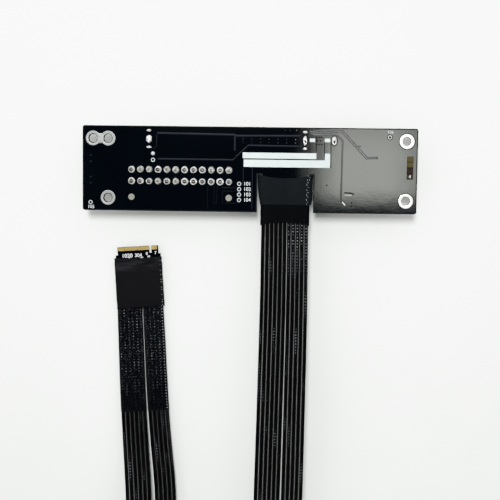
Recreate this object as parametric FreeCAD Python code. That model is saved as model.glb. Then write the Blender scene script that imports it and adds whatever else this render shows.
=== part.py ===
"""External graphics-card dock: a board that lies solder side up, its flat cable and the edge plug.

Millimetres. The origin is under the middle of the board, on the surface that the dock lies on.
+X runs along the board, +Y goes away from the cable, +Z points up, out of the solder side.
"""
import FreeCAD
import Part
import math
import os

V = FreeCAD.Vector
UP = V(0, 0, 1)

# Board
board_length = 158.0
board_width = 40.0
board_thickness = 1.6
board_corner_radius = 1.0
foil_thickness = 0.06
cut_over = 1.0

# Mounting eyelets: one row along each long edge, and a twin at the upper left
mount_hole_radius = 1.9
mount_ring_radius = 3.65
mount_plating = 0.1
mount_inset_y = 6.0
mount_inset_left = 12.0
mount_inset_right = 5.0
twin_spacing = 7.1
twin_neck = 4.8

# Tongue between two slits in the lower edge
tongue_inset_left = 96.1
tongue_width = 21.8
tongue_length = 13.0
notch_width = 26.7
notch_depth = 18.4
notch_corner_radius = 0.7

# Card slot, mouth down: its height is what the dock stands on
slot_height = 11.25
slot_standoff = 0.2
slot_width = 7.5
slot_inset_left = 30.6
slot_inset_y = 6.0
short_bank = 11
long_bank = 71
contact_pitch = 1.0
contact_width = 0.45
contact_metal = 0.2
key_gap = 3.0
bank_margin = 3.0
groove_width = 1.75
groove_depth = 8.0
groove_overrun = 0.65
groove_lead_in = 0.6
pocket_width = 0.65
pocket_depth = 1.1
pocket_sill = 1.2
contact_tip_height = 1.3
contact_tip_setback = 0.45
contact_bow_height = 2.2
contact_bow_reach = 0.2
contact_knee_height = 3.4
tail_length = 1.5
foot_length = 1.6
lock_inset = 0.8
lock_width = 0.8
lock_reach = 2.4
lock_root = 3.0
leg_width = 1.5
leg_metal = 0.3
leg_drop = 6.0
leg_proud = 0.4
anchor_clearance = 0.2
anchor_pad_margin = 0.5
anchor_dome_height = 0.5

# Power header, lying along the lower edge with its mouth at that edge
header_columns = 12
header_pitch = 4.2
header_row_pitch = 5.5
header_inset_left = 23.2
header_setback = 0.15
header_mouth_to_row = 13.9
header_mouth_to_peg = 6.35
header_height = 9.6
header_depth = 12.8
header_end_wall = 2.7
cavity_size = 3.6
cavity_depth = 9.0
pin_size = 1.07
pin_tip_setback = 2.0
pin_proud = 0.8
pin_chamfer = 0.3
pin_hole_radius = 0.9
peg_radius = 1.5
peg_hole_radius = 1.6
peg_proud = 0.1
ramp_width = 6.4
ramp_length = 5.6
ramp_setback = 1.2
joint_base_radius = 1.62
joint_top_radius = 0.78
joint_height = 0.65
joint_hollow = 0.12

# Bare tinned places on the solder side: along X from the tongue's middle, along Y from the board's middle
bar_one_span = (-20.3, 14.4)
bar_one_ys = (5.35, 8.05)
bar_two_span = (-19.8, 20.85)
bar_two_ys = (1.3, 4.75)
bar_two_leg_width = 2.4
bar_two_leg_top = 7.95
slot_pad_size = (2.45, 1.6)
slot_pad_rise = 0.15
slot_pad_offsets = (3.45, 10.5)

# Small plated rings: a row of four beside the header, and single ones
ring_radius = 1.05
ring_hole_radius = 0.45
ring_plating = 0.08
ring_row_clearance = 2.2
ring_row_setback = 13.25
ring_row_pitch = 2.54
ring_row_count = 4
slot_ring_inset = 2.75
slot_ring_ys = (7.1, 4.05)
corner_ring_inset = 3.7
back_ring_inset_right = 13.15
back_ring_inset_y = 4.1

# Small parts on the component side, under the board
can_radius = 3.15
can_height = 5.2
can_base_size = 6.6
can_base_height = 0.7
can_base_corner = 0.6
can_rim_radius = 0.4
can_insets_right = (26.5, 18.5)
can_y = -4.0
chip_size = (1.6, 0.8, 0.7)
slot_resistor_clearance = 13.3
slot_resistor_drop = 2.5
pair_resistor_inset_right = 34.1
pair_resistor_ys = (2.0, 5.0)
ceramic_offsets = (3.4, 7.0, 10.6)
ceramic_clearance = 1.75
end_ceramic_clearance = 6.4
led_size = (2.0, 1.25, 0.8)
led_inset_right = 17.5
led_y = 6.5
switch_size = (2.9, 1.4, 1.0)
switch_clearance = 16.55
switch_y = -11.0

# Ribbons: flat rows of twin-core strips
six_strip_count = 6
five_strip_count = 5
ribbon_thickness = 1.3
tail_gap = 1.0
core_width = 0.6
core_height = 0.3
core_length = 5.0

# Sleeves
sleeve_wall = 0.4
sleeve_top_gap = 0.4
sleeve_end_y = -16.5
sleeve_top_size = (25.2, 4.0)
sleeve_end_size = (23.2, 3.2)
collar_end_y = -25.4
collar_size = (22.8, 2.2)
collar_wall = 0.2

# Edge plug: distances behind its tip, along its own axis
plug_tip = (-54.45, -37.75)
plug_turn = 3.8
plug_height = 1.7
plug_board_thickness = 0.8
plug_board_width = 22.0
plug_board_length = 18.0
tab_width = 19.85
tab_length = 4.0
key_offset = 6.125
key_width = 1.2
key_depth = 3.5
finger_pitch = 0.5
finger_width = 0.35
finger_length = 2.0
finger_edge_margin = 0.675
finger_tip_gap = 0.1
plug_sleeve_wall = 0.2
plug_sleeve_sections = ((5.6, 22.7, 1.9), (10.5, 22.9, 1.9), (12.2, 23.0, 3.4), (30.4, 23.1, 3.4))

# Places that follow from the sizes above
board_under = slot_height
board_top = board_under + board_thickness
board_left = -board_length / 2
board_right = board_length / 2
board_front = -board_width / 2
board_back = board_width / 2
slot_y = board_back - slot_inset_y
slot_left = board_left + slot_inset_left
slot_length = (short_bank + long_bank - 2) * contact_pitch + key_gap + 2 * bank_margin
slot_right = slot_left + slot_length
key_x = slot_right - bank_margin - (short_bank - 1) * contact_pitch - key_gap / 2
lock_xs = (slot_left + lock_inset, key_x, slot_right - lock_inset)
leg_xs = lock_xs[:2]
leg_offset = slot_width / 2 + leg_metal / 2
tongue_x = board_left + tongue_inset_left
header_left = board_left + header_inset_left
header_mouth = board_front + header_setback
near_row = header_mouth + header_mouth_to_row
header_rows = (near_row, near_row + header_row_pitch)
header_under = board_under - header_height
header_middle = board_under - header_height / 2
level_offset = header_row_pitch / 2
header_levels = (header_middle + level_offset, header_middle - level_offset)
header_xs = [header_left + i * header_pitch for i in range(header_columns)]
peg_y = header_mouth + header_mouth_to_peg
notch_top = board_front + notch_depth
tongue_tip = notch_top - tongue_length
tongue_level = board_under + board_thickness / 2
mount_ys = (board_back - mount_inset_y, board_front + mount_inset_y)
mount_left = board_left + mount_inset_left
mount_right = board_right - mount_inset_right
mount_places = ((mount_left, mount_ys[0]), (mount_left, mount_ys[1]),
                (mount_right, mount_ys[0]), (mount_right, mount_ys[1]))
twin_place = (mount_left - twin_spacing, mount_ys[0])
bar_one = (tongue_x + bar_one_span[0], tongue_x + bar_one_span[1]) + bar_one_ys
bar_two = (tongue_x + bar_two_span[0], tongue_x + bar_two_span[1]) + bar_two_ys
slot_pads = [(key_x + offset, slot_y + slot_pad_rise) for offset in slot_pad_offsets]
ring_row_x = header_xs[-1] + header_end_wall + ring_row_clearance
ring_row_top = board_front + ring_row_setback
ring_places = [(ring_row_x, ring_row_top - i * ring_row_pitch) for i in range(ring_row_count)]
ring_places += [(slot_left + slot_ring_inset, y) for y in slot_ring_ys]
ring_places += [(board_left + corner_ring_inset, board_front + corner_ring_inset),
                (board_right - back_ring_inset_right, board_back - back_ring_inset_y)]
can_places = [(board_right - inset, can_y) for inset in can_insets_right]
resistor_places = [(slot_right + slot_resistor_clearance, slot_y - slot_resistor_drop)]
resistor_places += [(board_right - pair_resistor_inset_right, y) for y in pair_resistor_ys]
ceramic_y = slot_y - slot_width / 2 - tail_length - ceramic_clearance - chip_size[1] / 2
ceramic_places = [(key_x + offset, ceramic_y) for offset in ceramic_offsets]
ceramic_places += [(slot_right + end_ceramic_clearance, slot_y)]
led_place = (board_right - led_inset_right, led_y)
switch_place = (tongue_x + notch_width / 2 + switch_clearance, switch_y)

# Cable route from the tongue to the plug: x, y, z, roll in degrees, gap between ribbons, strip pitch.
# A straight run out of the tongue comes before these points, and one into the plug after them.
route_middle = (
    (16.7, -66.0, 12.7, 0, 0.3, 2.04),
    (16.4, -93.0, 13.3, 0, 0.4, 2.08),
    (15.9, -121.0, 13.9, 1, 0.5, 2.1),
    (15.8, -148.0, 14.4, 5, 0.6, 2.1),
    (19.0, -173.0, 14.6, 23, 0.6, 2.1),
    (26.5, -198.0, 14.2, 50, 0.5, 2.1),
    (27.5, -227.5, 13.0, 74, 0.4, 2.1),
    (12.5, -252.0, 12.1, 86, 0.4, 2.1),
    (-15.5, -262.5, 11.9, 90, 0.4, 2.1),
    (-43.5, -252.0, 11.9, 95, 0.5, 2.1),
    (-58.5, -228.0, 12.0, 108, 0.8, 2.1),
    (-58.0, -199.5, 11.3, 130, 1.2, 2.1),
    (-51.2, -177.0, 8.6, 153, 1.7, 2.1),
    (-46.4, -157.0, 5.2, 171, 1.8, 2.1),
    (-48.5, -133.0, 2.9, 179, 1.1, 2.1),
    (-50.3, -107.0, 1.8, 180, 0.5, 2.08),
)
first_run = 24.4
last_run = 24.0
end_gap = 0.1
end_pitch = 1.96
arc_share = 0.45
arc_step = 4.0


def block(x0, x1, y0, y1, z0, z1):
    """A box between two corners."""
    return Part.makeBox(x1 - x0, y1 - y0, z1 - z0, V(x0, y0, z0))


def centred(place, size, z0, z1):
    """A box of a given plan size about a place."""
    x, y = place
    return block(x - size[0] / 2, x + size[0] / 2, y - size[1] / 2, y + size[1] / 2, z0, z1)


def rod(place, radius, z0, z1):
    """An upright cylinder."""
    return Part.makeCylinder(radius, z1 - z0, V(place[0], place[1], z0))


def prism(points, along):
    """A closed outline, extruded along a vector."""
    return Part.Face(Part.makePolygon(points + points[:1])).extrude(along)


def oval(place, size, z0, z1):
    """A stadium-shaped post, long in whichever direction its size is larger."""
    x, y = place
    radius = min(size) / 2
    dx = max(size[0] / 2 - radius, 0)
    dy = max(size[1] / 2 - radius, 0)
    post = rod((x - dx, y - dy), radius, z0, z1)
    if dx or dy:
        half = (dx or radius, dy or radius)
        post = post.fuse(rod((x + dx, y + dy), radius, z0, z1))
        post = post.fuse(block(x - half[0], x + half[0], y - half[1], y + half[1], z0, z1))
    return post.removeSplitter()


def rounded_plate(x0, x1, y0, y1, z0, z1, radius):
    """A plate with rounded upright corners."""
    plate = block(x0, x1, y0, y1, z0, z1)
    corners = [e for e in plate.Edges if abs(e.tangentAt(e.FirstParameter).z) > 0.99]
    return plate.makeFillet(radius, corners)


def ring_post(place, outer, inner, plating):
    """A plated eyelet: a flange on each face of the board and the barrel between them."""
    post = rod(place, inner + plating, board_under - foil_thickness, board_top + foil_thickness)
    post = post.fuse(rod(place, outer, board_top, board_top + foil_thickness))
    post = post.fuse(rod(place, outer, board_under - foil_thickness, board_under))
    return post.cut(rod(place, inner, board_under - cut_over, board_top + cut_over))


def anchors():
    """Each soldered leg of the slot: its place and the plan size of the metal."""
    found = [((x, slot_y), (lock_width, lock_reach)) for x in lock_xs]
    for x in leg_xs:
        for side in (-1, 1):
            found.append(((x, slot_y + side * leg_offset), (leg_width, leg_metal)))
    return found


def grown(size, margin):
    """A plan size with a margin on every side."""
    return (size[0] + 2 * margin, size[1] + 2 * margin)


def make_board():
    board = rounded_plate(board_left, board_right, board_front, board_back,
                          board_under, board_top, board_corner_radius)
    notch = rounded_plate(tongue_x - notch_width / 2, tongue_x + notch_width / 2,
                          board_front - notch_width, notch_top, board_under, board_top, notch_corner_radius)
    tongue = block(tongue_x - tongue_width / 2, tongue_x + tongue_width / 2,
                   tongue_tip, notch_top + notch_corner_radius, board_under, board_top)
    holes = [rod(place, mount_hole_radius + mount_plating, board_under, board_top)
             for place in mount_places + (twin_place,)]
    holes += [rod(place, ring_hole_radius + ring_plating, board_under, board_top) for place in ring_places]
    holes += [rod((x, y), pin_hole_radius, board_under, board_top) for x in header_xs for y in header_rows]
    holes += [rod((x, peg_y), peg_hole_radius, board_under, board_top) for x in (header_xs[0], header_xs[-1])]
    holes += [oval(place, grown(size, anchor_clearance), board_under, board_top) for place, size in anchors()]
    return [board.cut(notch).fuse(tongue).cut(holes).removeSplitter()]


def make_mounting_eyelets():
    eyelets = [ring_post(place, mount_ring_radius, mount_hole_radius, mount_plating)
               for place in mount_places]
    twin = ring_post(twin_place, mount_ring_radius, mount_hole_radius, mount_plating)
    mate = eyelets[0]
    neck_y = mount_ys[0] - twin_neck / 2
    for z in (board_top, board_under - foil_thickness):
        neck = block(twin_place[0], mount_left, neck_y, neck_y + twin_neck, z, z + foil_thickness)
        bores = [rod((x, mount_ys[0]), mount_hole_radius, z, z + foil_thickness)
                 for x in (twin_place[0], mount_left)]
        twin = twin.fuse(neck.cut(bores))
    eyelets[0] = mate.fuse(twin).removeSplitter()
    return eyelets


def make_power_bars():
    z0 = board_top
    z1 = board_top + foil_thickness
    first = block(*bar_one, z0, z1)
    second = block(*bar_two, z0, z1)
    leg = block(bar_two[1] - bar_two_leg_width, bar_two[1], bar_two[2], bar_two_leg_top, z0, z1)
    pads = [centred(place, slot_pad_size, z0, z1) for place in slot_pads]
    return [first, second.fuse(leg).removeSplitter()] + pads


def make_test_eyelets():
    return [ring_post(place, ring_radius, ring_hole_radius, ring_plating) for place in ring_places]


def contact_xs():
    """Contact places along the slot, from the short bank's end."""
    first = slot_right - bank_margin
    short = [first - i * contact_pitch for i in range(short_bank)]
    start = short[-1] - key_gap
    return short + [start - i * contact_pitch for i in range(long_bank)]


def make_slot_housing():
    half = slot_width / 2
    roof = board_under - slot_standoff
    body = block(slot_left, slot_right, slot_y - half, slot_y + half, 0, roof)
    feet = [block(x, x + foot_length, slot_y - half, slot_y + half, roof, board_under)
            for x in (slot_left, key_x - foot_length / 2, slot_right - foot_length)]
    body = body.fuse(feet).removeSplitter()
    xs = contact_xs()
    banks = (xs[:short_bank], xs[short_bank:])
    cuts = []
    for bank in banks:
        cuts.append(block(bank[-1] - groove_overrun, bank[0] + groove_overrun,
                          slot_y - groove_width / 2, slot_y + groove_width / 2, 0, groove_depth))
    pocket_half = groove_width / 2 + pocket_depth
    for x in xs:
        cuts.append(block(x - pocket_width / 2, x + pocket_width / 2,
                          slot_y - pocket_half, slot_y + pocket_half, pocket_sill, roof))
    for x in lock_xs:
        cuts.append(centred((x, slot_y), (lock_width, lock_reach), roof - lock_root, board_under))
    body = body.cut(cuts)
    rims = []
    for bank in banks:
        x0 = bank[-1] - groove_overrun
        x1 = bank[0] + groove_overrun
        y = groove_width / 2
        wedge = [V(x0, slot_y - y - groove_lead_in, 0), V(x0, slot_y + y + groove_lead_in, 0),
                 V(x0, slot_y + y, groove_lead_in), V(x0, slot_y - y, groove_lead_in)]
        rims.append(prism(wedge, V(x1 - x0, 0, 0)))
    return [body.cut(rims)]


def make_slot_contacts():
    """Bent spring strips: a bowed finger in the groove, and a foot that lies under the board."""
    roof = board_under - slot_standoff
    root = groove_width / 2 + pocket_depth
    bow = groove_width / 2 - contact_bow_reach
    tip = root - contact_tip_setback
    end = slot_width / 2 + tail_length
    m = contact_metal
    profile = ((root, roof), (root, contact_knee_height), (bow + m, contact_bow_height),
               (tip, contact_tip_height), (tip - m, contact_tip_height), (bow, contact_bow_height),
               (root - m, contact_knee_height + m), (root - m, board_under), (end, board_under), (end, roof))
    strips = []
    for x in contact_xs():
        for side in (-1, 1):
            outline = [V(x - contact_width / 2, slot_y + side * y, z) for y, z in profile]
            strips.append(prism(outline, V(contact_width, 0, 0)))
    return strips


def make_slot_hold_downs():
    legs = []
    for x in leg_xs:
        for side in (-1, 1):
            place = (x, slot_y + side * leg_offset)
            legs.append(centred(place, (leg_width, leg_metal), board_under - leg_drop, board_top + leg_proud))
    return legs


def make_slot_board_locks():
    roof = board_under - slot_standoff
    return [centred((x, slot_y), (lock_width, lock_reach), roof - lock_root, board_top + leg_proud)
            for x in lock_xs]


def make_anchor_solder():
    """A flattened dome round each leg, with the solder that fills its hole."""
    joints = []
    for place, size in anchors():
        fill = oval(place, grown(size, anchor_clearance), board_under, board_top)
        base = oval(place, grown(size, anchor_pad_margin), board_top, board_top + anchor_dome_height / 2)
        crown = oval(place, grown(size, anchor_pad_margin / 2), board_top + anchor_dome_height / 2,
                     board_top + anchor_dome_height)
        leg = centred(place, size, board_under - cut_over, board_top + anchor_dome_height + cut_over)
        joints.append(fill.fuse([base, crown]).cut(leg).removeSplitter())
    return joints


def pin_outline(row, level):
    """Side outline of a bent pin: along its cavity, then up through the board."""
    h = pin_size / 2
    c = pin_chamfer
    tip = header_mouth + pin_tip_setback
    top = board_top + pin_proud
    return ((tip, level - h + c), (tip + c, level - h), (row + h - c, level - h), (row + h, level - h + c),
            (row + h, top - c), (row + h - c, top), (row - h + c, top), (row - h, top - c),
            (row - h, level + h), (tip + c, level + h), (tip, level + h - c))


def make_header_pins():
    pins = []
    for row, level in zip(header_rows, header_levels):
        for x in header_xs:
            outline = [V(x - pin_size / 2, y, z) for y, z in pin_outline(row, level)]
            pins.append(prism(outline, V(pin_size, 0, 0)))
    return pins


def make_header_housing():
    x0 = header_xs[0] - header_end_wall
    x1 = header_xs[-1] + header_end_wall
    back = header_mouth + header_depth
    body = block(x0, x1, header_mouth, back, header_under, board_under)
    middle = (x0 + x1) / 2
    ramp_front = header_mouth + ramp_setback
    ramp = [V(middle - ramp_width / 2, ramp_front, header_under),
            V(middle - ramp_width / 2, ramp_front + ramp_length, header_under),
            V(middle - ramp_width / 2, ramp_front + ramp_length, 0),
            V(middle - ramp_width / 2, ramp_front + ramp_length - ramp_setback, 0)]
    body = body.fuse(prism(ramp, V(ramp_width, 0, 0)))
    pegs = [rod((x, peg_y), peg_radius, board_under, board_top + peg_proud)
            for x in (header_xs[0], header_xs[-1])]
    cuts = []
    half = cavity_size / 2
    for level in header_levels:
        for x in header_xs:
            cuts.append(block(x - half, x + half, header_mouth, header_mouth + cavity_depth,
                              level - half, level + half))
            cuts.append(block(x - pin_size / 2, x + pin_size / 2, header_mouth + cavity_depth, back,
                              level - pin_size / 2, level + pin_size / 2))
    return [body.fuse(pegs).cut(cuts).removeSplitter()]


def make_header_solder():
    """A concave cone on each pin, with the solder that fills its hole."""
    joints = []
    for y in header_rows:
        for x in header_xs:
            waist = (joint_base_radius + joint_top_radius) / 2 - joint_hollow
            flank = ((0, 0), (joint_base_radius, 0), (waist, joint_height / 2),
                     (joint_top_radius, joint_height), (0, joint_height))
            outline = [V(x + r, y, board_top + z) for r, z in flank]
            cone = Part.Face(Part.makePolygon(outline + outline[:1])).revolve(V(x, y, 0), UP, 360)
            fill = rod((x, y), pin_hole_radius, board_under, board_top)
            pin = centred((x, y), (pin_size, pin_size), board_under - cut_over,
                          board_top + pin_proud + cut_over)
            joints.append(cone.fuse(fill).cut(pin).removeSplitter())
    return joints


def under_board(places, size):
    """Small parts of one kind that hang under the board."""
    return [centred(place, size, board_under - size[2], board_under) for place in places]


def make_can_bases():
    bases = []
    for x, y in can_places:
        h = can_base_size / 2
        bases.append(rounded_plate(x - h, x + h, y - h, y + h, board_under - can_base_height, board_under,
                                   can_base_corner))
    return bases


def make_cans():
    cans = []
    for place in can_places:
        roof = board_under - can_base_height
        can = rod(place, can_radius, roof - can_height, roof)
        rim = [e for e in can.Edges if abs(e.BoundBox.ZMax - (roof - can_height)) < 0.01]
        cans.append(can.makeFillet(can_rim_radius, rim))
    return cans


def unit(v):
    return v * (1 / v.Length)


def plug_point(across, behind, z):
    """A point of the plug: across its axis, behind its tip, at a height."""
    turn = math.radians(plug_turn)
    axis = V(-math.sin(turn), math.cos(turn), 0)
    side = V(axis.y, -axis.x, 0)
    return V(plug_tip[0], plug_tip[1], z) + side * across - axis * behind


def route_table():
    """The whole route: straight out of the tongue, the points between, and straight into the plug."""
    rear = plug_board_length + tail_gap
    end = plug_point(0, rear, plug_height)
    before = plug_point(0, rear + last_run, plug_height)
    out = tongue_tip - tail_gap
    start = (tongue_x, out, tongue_level, 0, end_gap, end_pitch)
    leave = (tongue_x, out - first_run, tongue_level, 0, end_gap, end_pitch)
    close = (before.x, before.y, before.z, 180, end_gap, end_pitch)
    finish = (end.x, end.y, end.z, 180, end_gap, end_pitch)
    return (start, leave) + route_middle + (close, finish)


def path_stations(table):
    """Straight runs joined by tangent arcs: (place, direction, position in the table), and the radii."""
    points = [V(*row[:3]) for row in table]
    stations = [(points[0], unit(points[1] - points[0]), 0.0)]
    radii = []
    for i in range(1, len(points) - 1):
        run_in = (points[i] - points[i - 1]).Length
        run_out = (points[i + 1] - points[i]).Length
        head = unit(points[i] - points[i - 1])
        tail = unit(points[i + 1] - points[i])
        turn = head.getAngle(tail)
        reach = arc_share * min(run_in, run_out)
        radius = reach / math.tan(turn / 2)
        radii.append(radius)
        inward = unit(tail - head * head.dot(tail))
        start = points[i] - head * reach
        steps = max(2, 2 * round(radius * turn / arc_step / 2))
        for k in range(steps + 1):
            share = k / steps
            angle = share * turn
            place = start + head * (radius * math.sin(angle)) + inward * (radius * (1 - math.cos(angle)))
            direction = head * math.cos(angle) + inward * math.sin(angle)
            span = reach / run_in if share < 0.5 else reach / run_out
            stations.append((place, direction, i + (2 * share - 1) * span))
    stations.append((points[-1], unit(points[-1] - points[-2]), float(len(points) - 1)))
    return stations, radii


def between(table, position, column):
    """A value of the table, read between two rows."""
    low = min(int(position), len(table) - 2)
    share = position - low
    return table[low][column] * (1 - share) + table[low + 1][column] * share


def ribbon_section(table, station, first_strip, strips):
    """Corners and centre of one ribbon's cross-section: it rolls about the cable's middle line."""
    place, direction, position = station
    roll = math.radians(between(table, position, 3))
    gap = between(table, position, 4)
    pitch = between(table, position, 5)
    total = six_strip_count + five_strip_count
    level_side = unit(direction.cross(UP))
    upright = unit(level_side.cross(direction))
    across = level_side * math.cos(roll) + upright * math.sin(roll)
    normal = unit(direction.cross(across))
    lead = 1 if first_strip == 0 else -1
    centre = place + across * ((total / 2 - first_strip - strips / 2) * pitch + lead * gap / 2)
    half_width = across * (strips * pitch / 2)
    half_height = normal * (ribbon_thickness / 2)
    corners = [centre + half_width + half_height, centre - half_width + half_height,
               centre - half_width - half_height, centre + half_width - half_height]
    return corners, centre, strips * pitch


def triangle(a, b, c):
    return Part.Face(Part.makePolygon([a, b, c, a]))


def make_ribbon(name, first_strip, strips):
    """A flat-sided band through the cable's cross-sections, closed at both ends."""
    table = route_table()
    stations, radii = path_stations(table)
    sections = [ribbon_section(table, station, first_strip, strips) for station in stations]
    faces = []
    length = 0
    volume = 0
    for (near, near_centre, near_width), (far, far_centre, far_width) in zip(sections, sections[1:]):
        for k in range(4):
            j = (k + 1) % 4
            if k < 2:
                faces.append(triangle(near[k], near[j], far[j]))
                faces.append(triangle(near[k], far[j], far[k]))
            else:
                faces.append(triangle(near[k], near[j], far[k]))
                faces.append(triangle(near[j], far[j], far[k]))
        step = (far_centre - near_centre).Length
        length += step
        volume += step * (near_width + far_width) / 2 * ribbon_thickness
    for corners in (sections[0][0], sections[-1][0]):
        faces.append(Part.Face(Part.makePolygon(corners + corners[:1])))
    shell = Part.Shell(faces)
    shell.sewShape()
    band = Part.Solid(shell)
    if band.Volume < 0:
        band.reverse()
    print(name, "length %.1f" % length, "volume %.1f" % band.Volume, "section times length %.1f" % volume)
    print(name, "route radii", [round(r) for r in radii])
    return [band]


def flat_tube_wire(centre, across, size, normal):
    """A rounded flat outline about a centre."""
    half = across * (size[0] / 2 - size[1] / 2)
    bulge = across * (size[1] / 2)
    rise = normal * (size[1] / 2)
    left = centre - half
    right = centre + half
    edges = [Part.LineSegment(left + rise, right + rise).toShape(),
             Part.Arc(right + rise, right + bulge, right - rise).toShape(),
             Part.LineSegment(right - rise, left - rise).toShape(),
             Part.Arc(left - rise, left - bulge, left + rise).toShape()]
    return Part.Wire(edges)


def flat_tube(sections, across, wall):
    """A flat sleeve through (centre, size) sections, with an even wall."""
    outer = Part.makeLoft([flat_tube_wire(c, across, s, UP) for c, s in sections], True, True)
    bore = [(c, (s[0] - 2 * wall, s[1] - 2 * wall)) for c, s in sections]
    inner = Part.makeLoft([flat_tube_wire(c, across, s, UP) for c, s in bore], True, True)
    return outer.cut(inner)


def make_dock_sleeve():
    top = V(tongue_x, notch_top - sleeve_top_gap, tongue_level)
    end = V(tongue_x, sleeve_end_y, tongue_level)
    return [flat_tube(((top, sleeve_top_size), (end, sleeve_end_size)), V(1, 0, 0), sleeve_wall)]


def make_collar():
    top = V(tongue_x, sleeve_end_y, tongue_level)
    end = V(tongue_x, collar_end_y, tongue_level)
    return [flat_tube(((top, collar_size), (end, collar_size)), V(1, 0, 0), collar_wall)]


def make_plug_sleeve():
    across = plug_point(1, 0, 0) - plug_point(0, 0, 0)
    sections = [(plug_point(0, behind, plug_height), (width, height))
                for behind, width, height in plug_sleeve_sections]
    return [flat_tube(sections, across, plug_sleeve_wall)]


def strip_centres(pitch):
    """Places of the strips across the cable at one of its ends, six-strip side first."""
    total = six_strip_count + five_strip_count
    places = []
    for i in range(total):
        lead = -1 if i < six_strip_count else 1
        places.append((i + 0.5 - total / 2) * pitch + lead * end_gap / 2)
    return places


def make_dock_tails():
    """Two stripped cores from each strip, one bent on to each face of the tongue."""
    y0 = tongue_tip - tail_gap
    half = board_thickness / 2
    inner = ribbon_thickness / 2 - core_height
    bend = tail_gap / 4
    profile = ((y0, inner), (tongue_tip - bend, inner), (tongue_tip - bend, half),
               (tongue_tip + core_length, half), (tongue_tip + core_length, half + core_height),
               (tongue_tip - 2 * bend, half + core_height), (tongue_tip - 3 * bend, inner + core_height),
               (y0, inner + core_height))
    cores = []
    for x in strip_centres(end_pitch):
        for side in (-1, 1):
            outline = [V(tongue_x + x - core_width / 2, y, tongue_level + side * z) for y, z in profile]
            cores.append(prism(outline, V(core_width, 0, 0)))
    return cores


def make_plug_tails():
    """Two stripped cores from each strip, one on each face of the plug's board."""
    half = plug_board_thickness / 2
    height = ribbon_thickness / 2 - half
    ends = (plug_board_length + tail_gap, plug_board_length - core_length)
    cores = []
    for x in strip_centres(end_pitch):
        for z in (plug_height + half, plug_height - half - height):
            outline = [plug_point(x - core_width / 2, ends[0], z), plug_point(x + core_width / 2, ends[0], z),
                       plug_point(x + core_width / 2, ends[1], z), plug_point(x - core_width / 2, ends[1], z)]
            cores.append(prism(outline, V(0, 0, height)))
    return cores


def make_plug_board():
    low = plug_height - plug_board_thickness / 2
    tab = tab_width / 2
    wide = plug_board_width / 2
    key_left = key_offset - key_width / 2
    key_right = key_offset + key_width / 2
    outline = ((-tab, 0), (key_left, 0), (key_left, key_depth), (key_right, key_depth), (key_right, 0),
               (tab, 0), (tab, tab_length), (wide, tab_length), (wide, plug_board_length),
               (-wide, plug_board_length), (-wide, tab_length), (-tab, tab_length))
    return [prism([plug_point(x, u, low) for x, u in outline], V(0, 0, plug_board_thickness))]


def make_plug_contacts():
    """Gold fingers on both faces, half a pitch apart, with none across the key."""
    count = int((tab_width - 2 * finger_edge_margin) / finger_pitch) + 1
    fingers = []
    for face in (0, 1):
        z = plug_height + plug_board_thickness / 2 if face else plug_height - plug_board_thickness / 2
        z -= 0 if face else foil_thickness
        shift = -finger_pitch / 4 if face else finger_pitch / 4
        for i in range(count):
            x = (i - (count - 1) / 2) * finger_pitch + shift
            if abs(x - key_offset) < key_width / 2 + finger_width:
                continue
            h = finger_width / 2
            outline = [plug_point(x - h, finger_tip_gap, z), plug_point(x + h, finger_tip_gap, z),
                       plug_point(x + h, finger_length, z), plug_point(x - h, finger_length, z)]
            fingers.append(prism(outline, V(0, 0, foil_thickness)))
    return fingers


nodes = {
    "dock_board": make_board(),
    "mounting_eyelets": make_mounting_eyelets(),
    "power_bars": make_power_bars(),
    "test_eyelets": make_test_eyelets(),
    "slot_housing": make_slot_housing(),
    "slot_contacts": make_slot_contacts(),
    "slot_hold_downs": make_slot_hold_downs(),
    "slot_board_locks": make_slot_board_locks(),
    "anchor_solder": make_anchor_solder(),
    "power_header_housing": make_header_housing(),
    "power_header_pins": make_header_pins(),
    "power_header_solder": make_header_solder(),
    "bulk_capacitor_bases": make_can_bases(),
    "bulk_capacitor_cans": make_cans(),
    "ceramic_capacitors": under_board(ceramic_places, chip_size),
    "chip_resistors": under_board(resistor_places, chip_size),
    "power_led": under_board((led_place,), led_size),
    "load_switch": under_board((switch_place,), switch_size),
    "dock_wire_tails": make_dock_tails(),
    "dock_sleeve": make_dock_sleeve(),
    "ribbon_collar": make_collar(),
    "ribbon_six": make_ribbon("ribbon_six", 0, six_strip_count),
    "ribbon_five": make_ribbon("ribbon_five", six_strip_count, five_strip_count),
    "plug_board": make_plug_board(),
    "plug_contacts": make_plug_contacts(),
    "plug_wire_tails": make_plug_tails(),
    "plug_sleeve": make_plug_sleeve(),
}

os.makedirs("parts", exist_ok=True)
for name, solids in nodes.items():
    shape = solids[0] if len(solids) == 1 else Part.makeCompound(solids)
    shape.exportStep("parts/%s.step" % name)
    state = "valid" if shape.isValid() else "NOT VALID"
    print(name, len(shape.Solids), "solids", state, "%.2f mm3" % shape.Volume)
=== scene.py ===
"""Looks of the external graphics-card dock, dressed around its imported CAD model.

The frame is in metres. Sizes in this script are in millimetres unless a comment says metres,
and MM turns them into the frame's unit.
"""
import math
import random

import bpy
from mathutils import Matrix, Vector, noise


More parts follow.
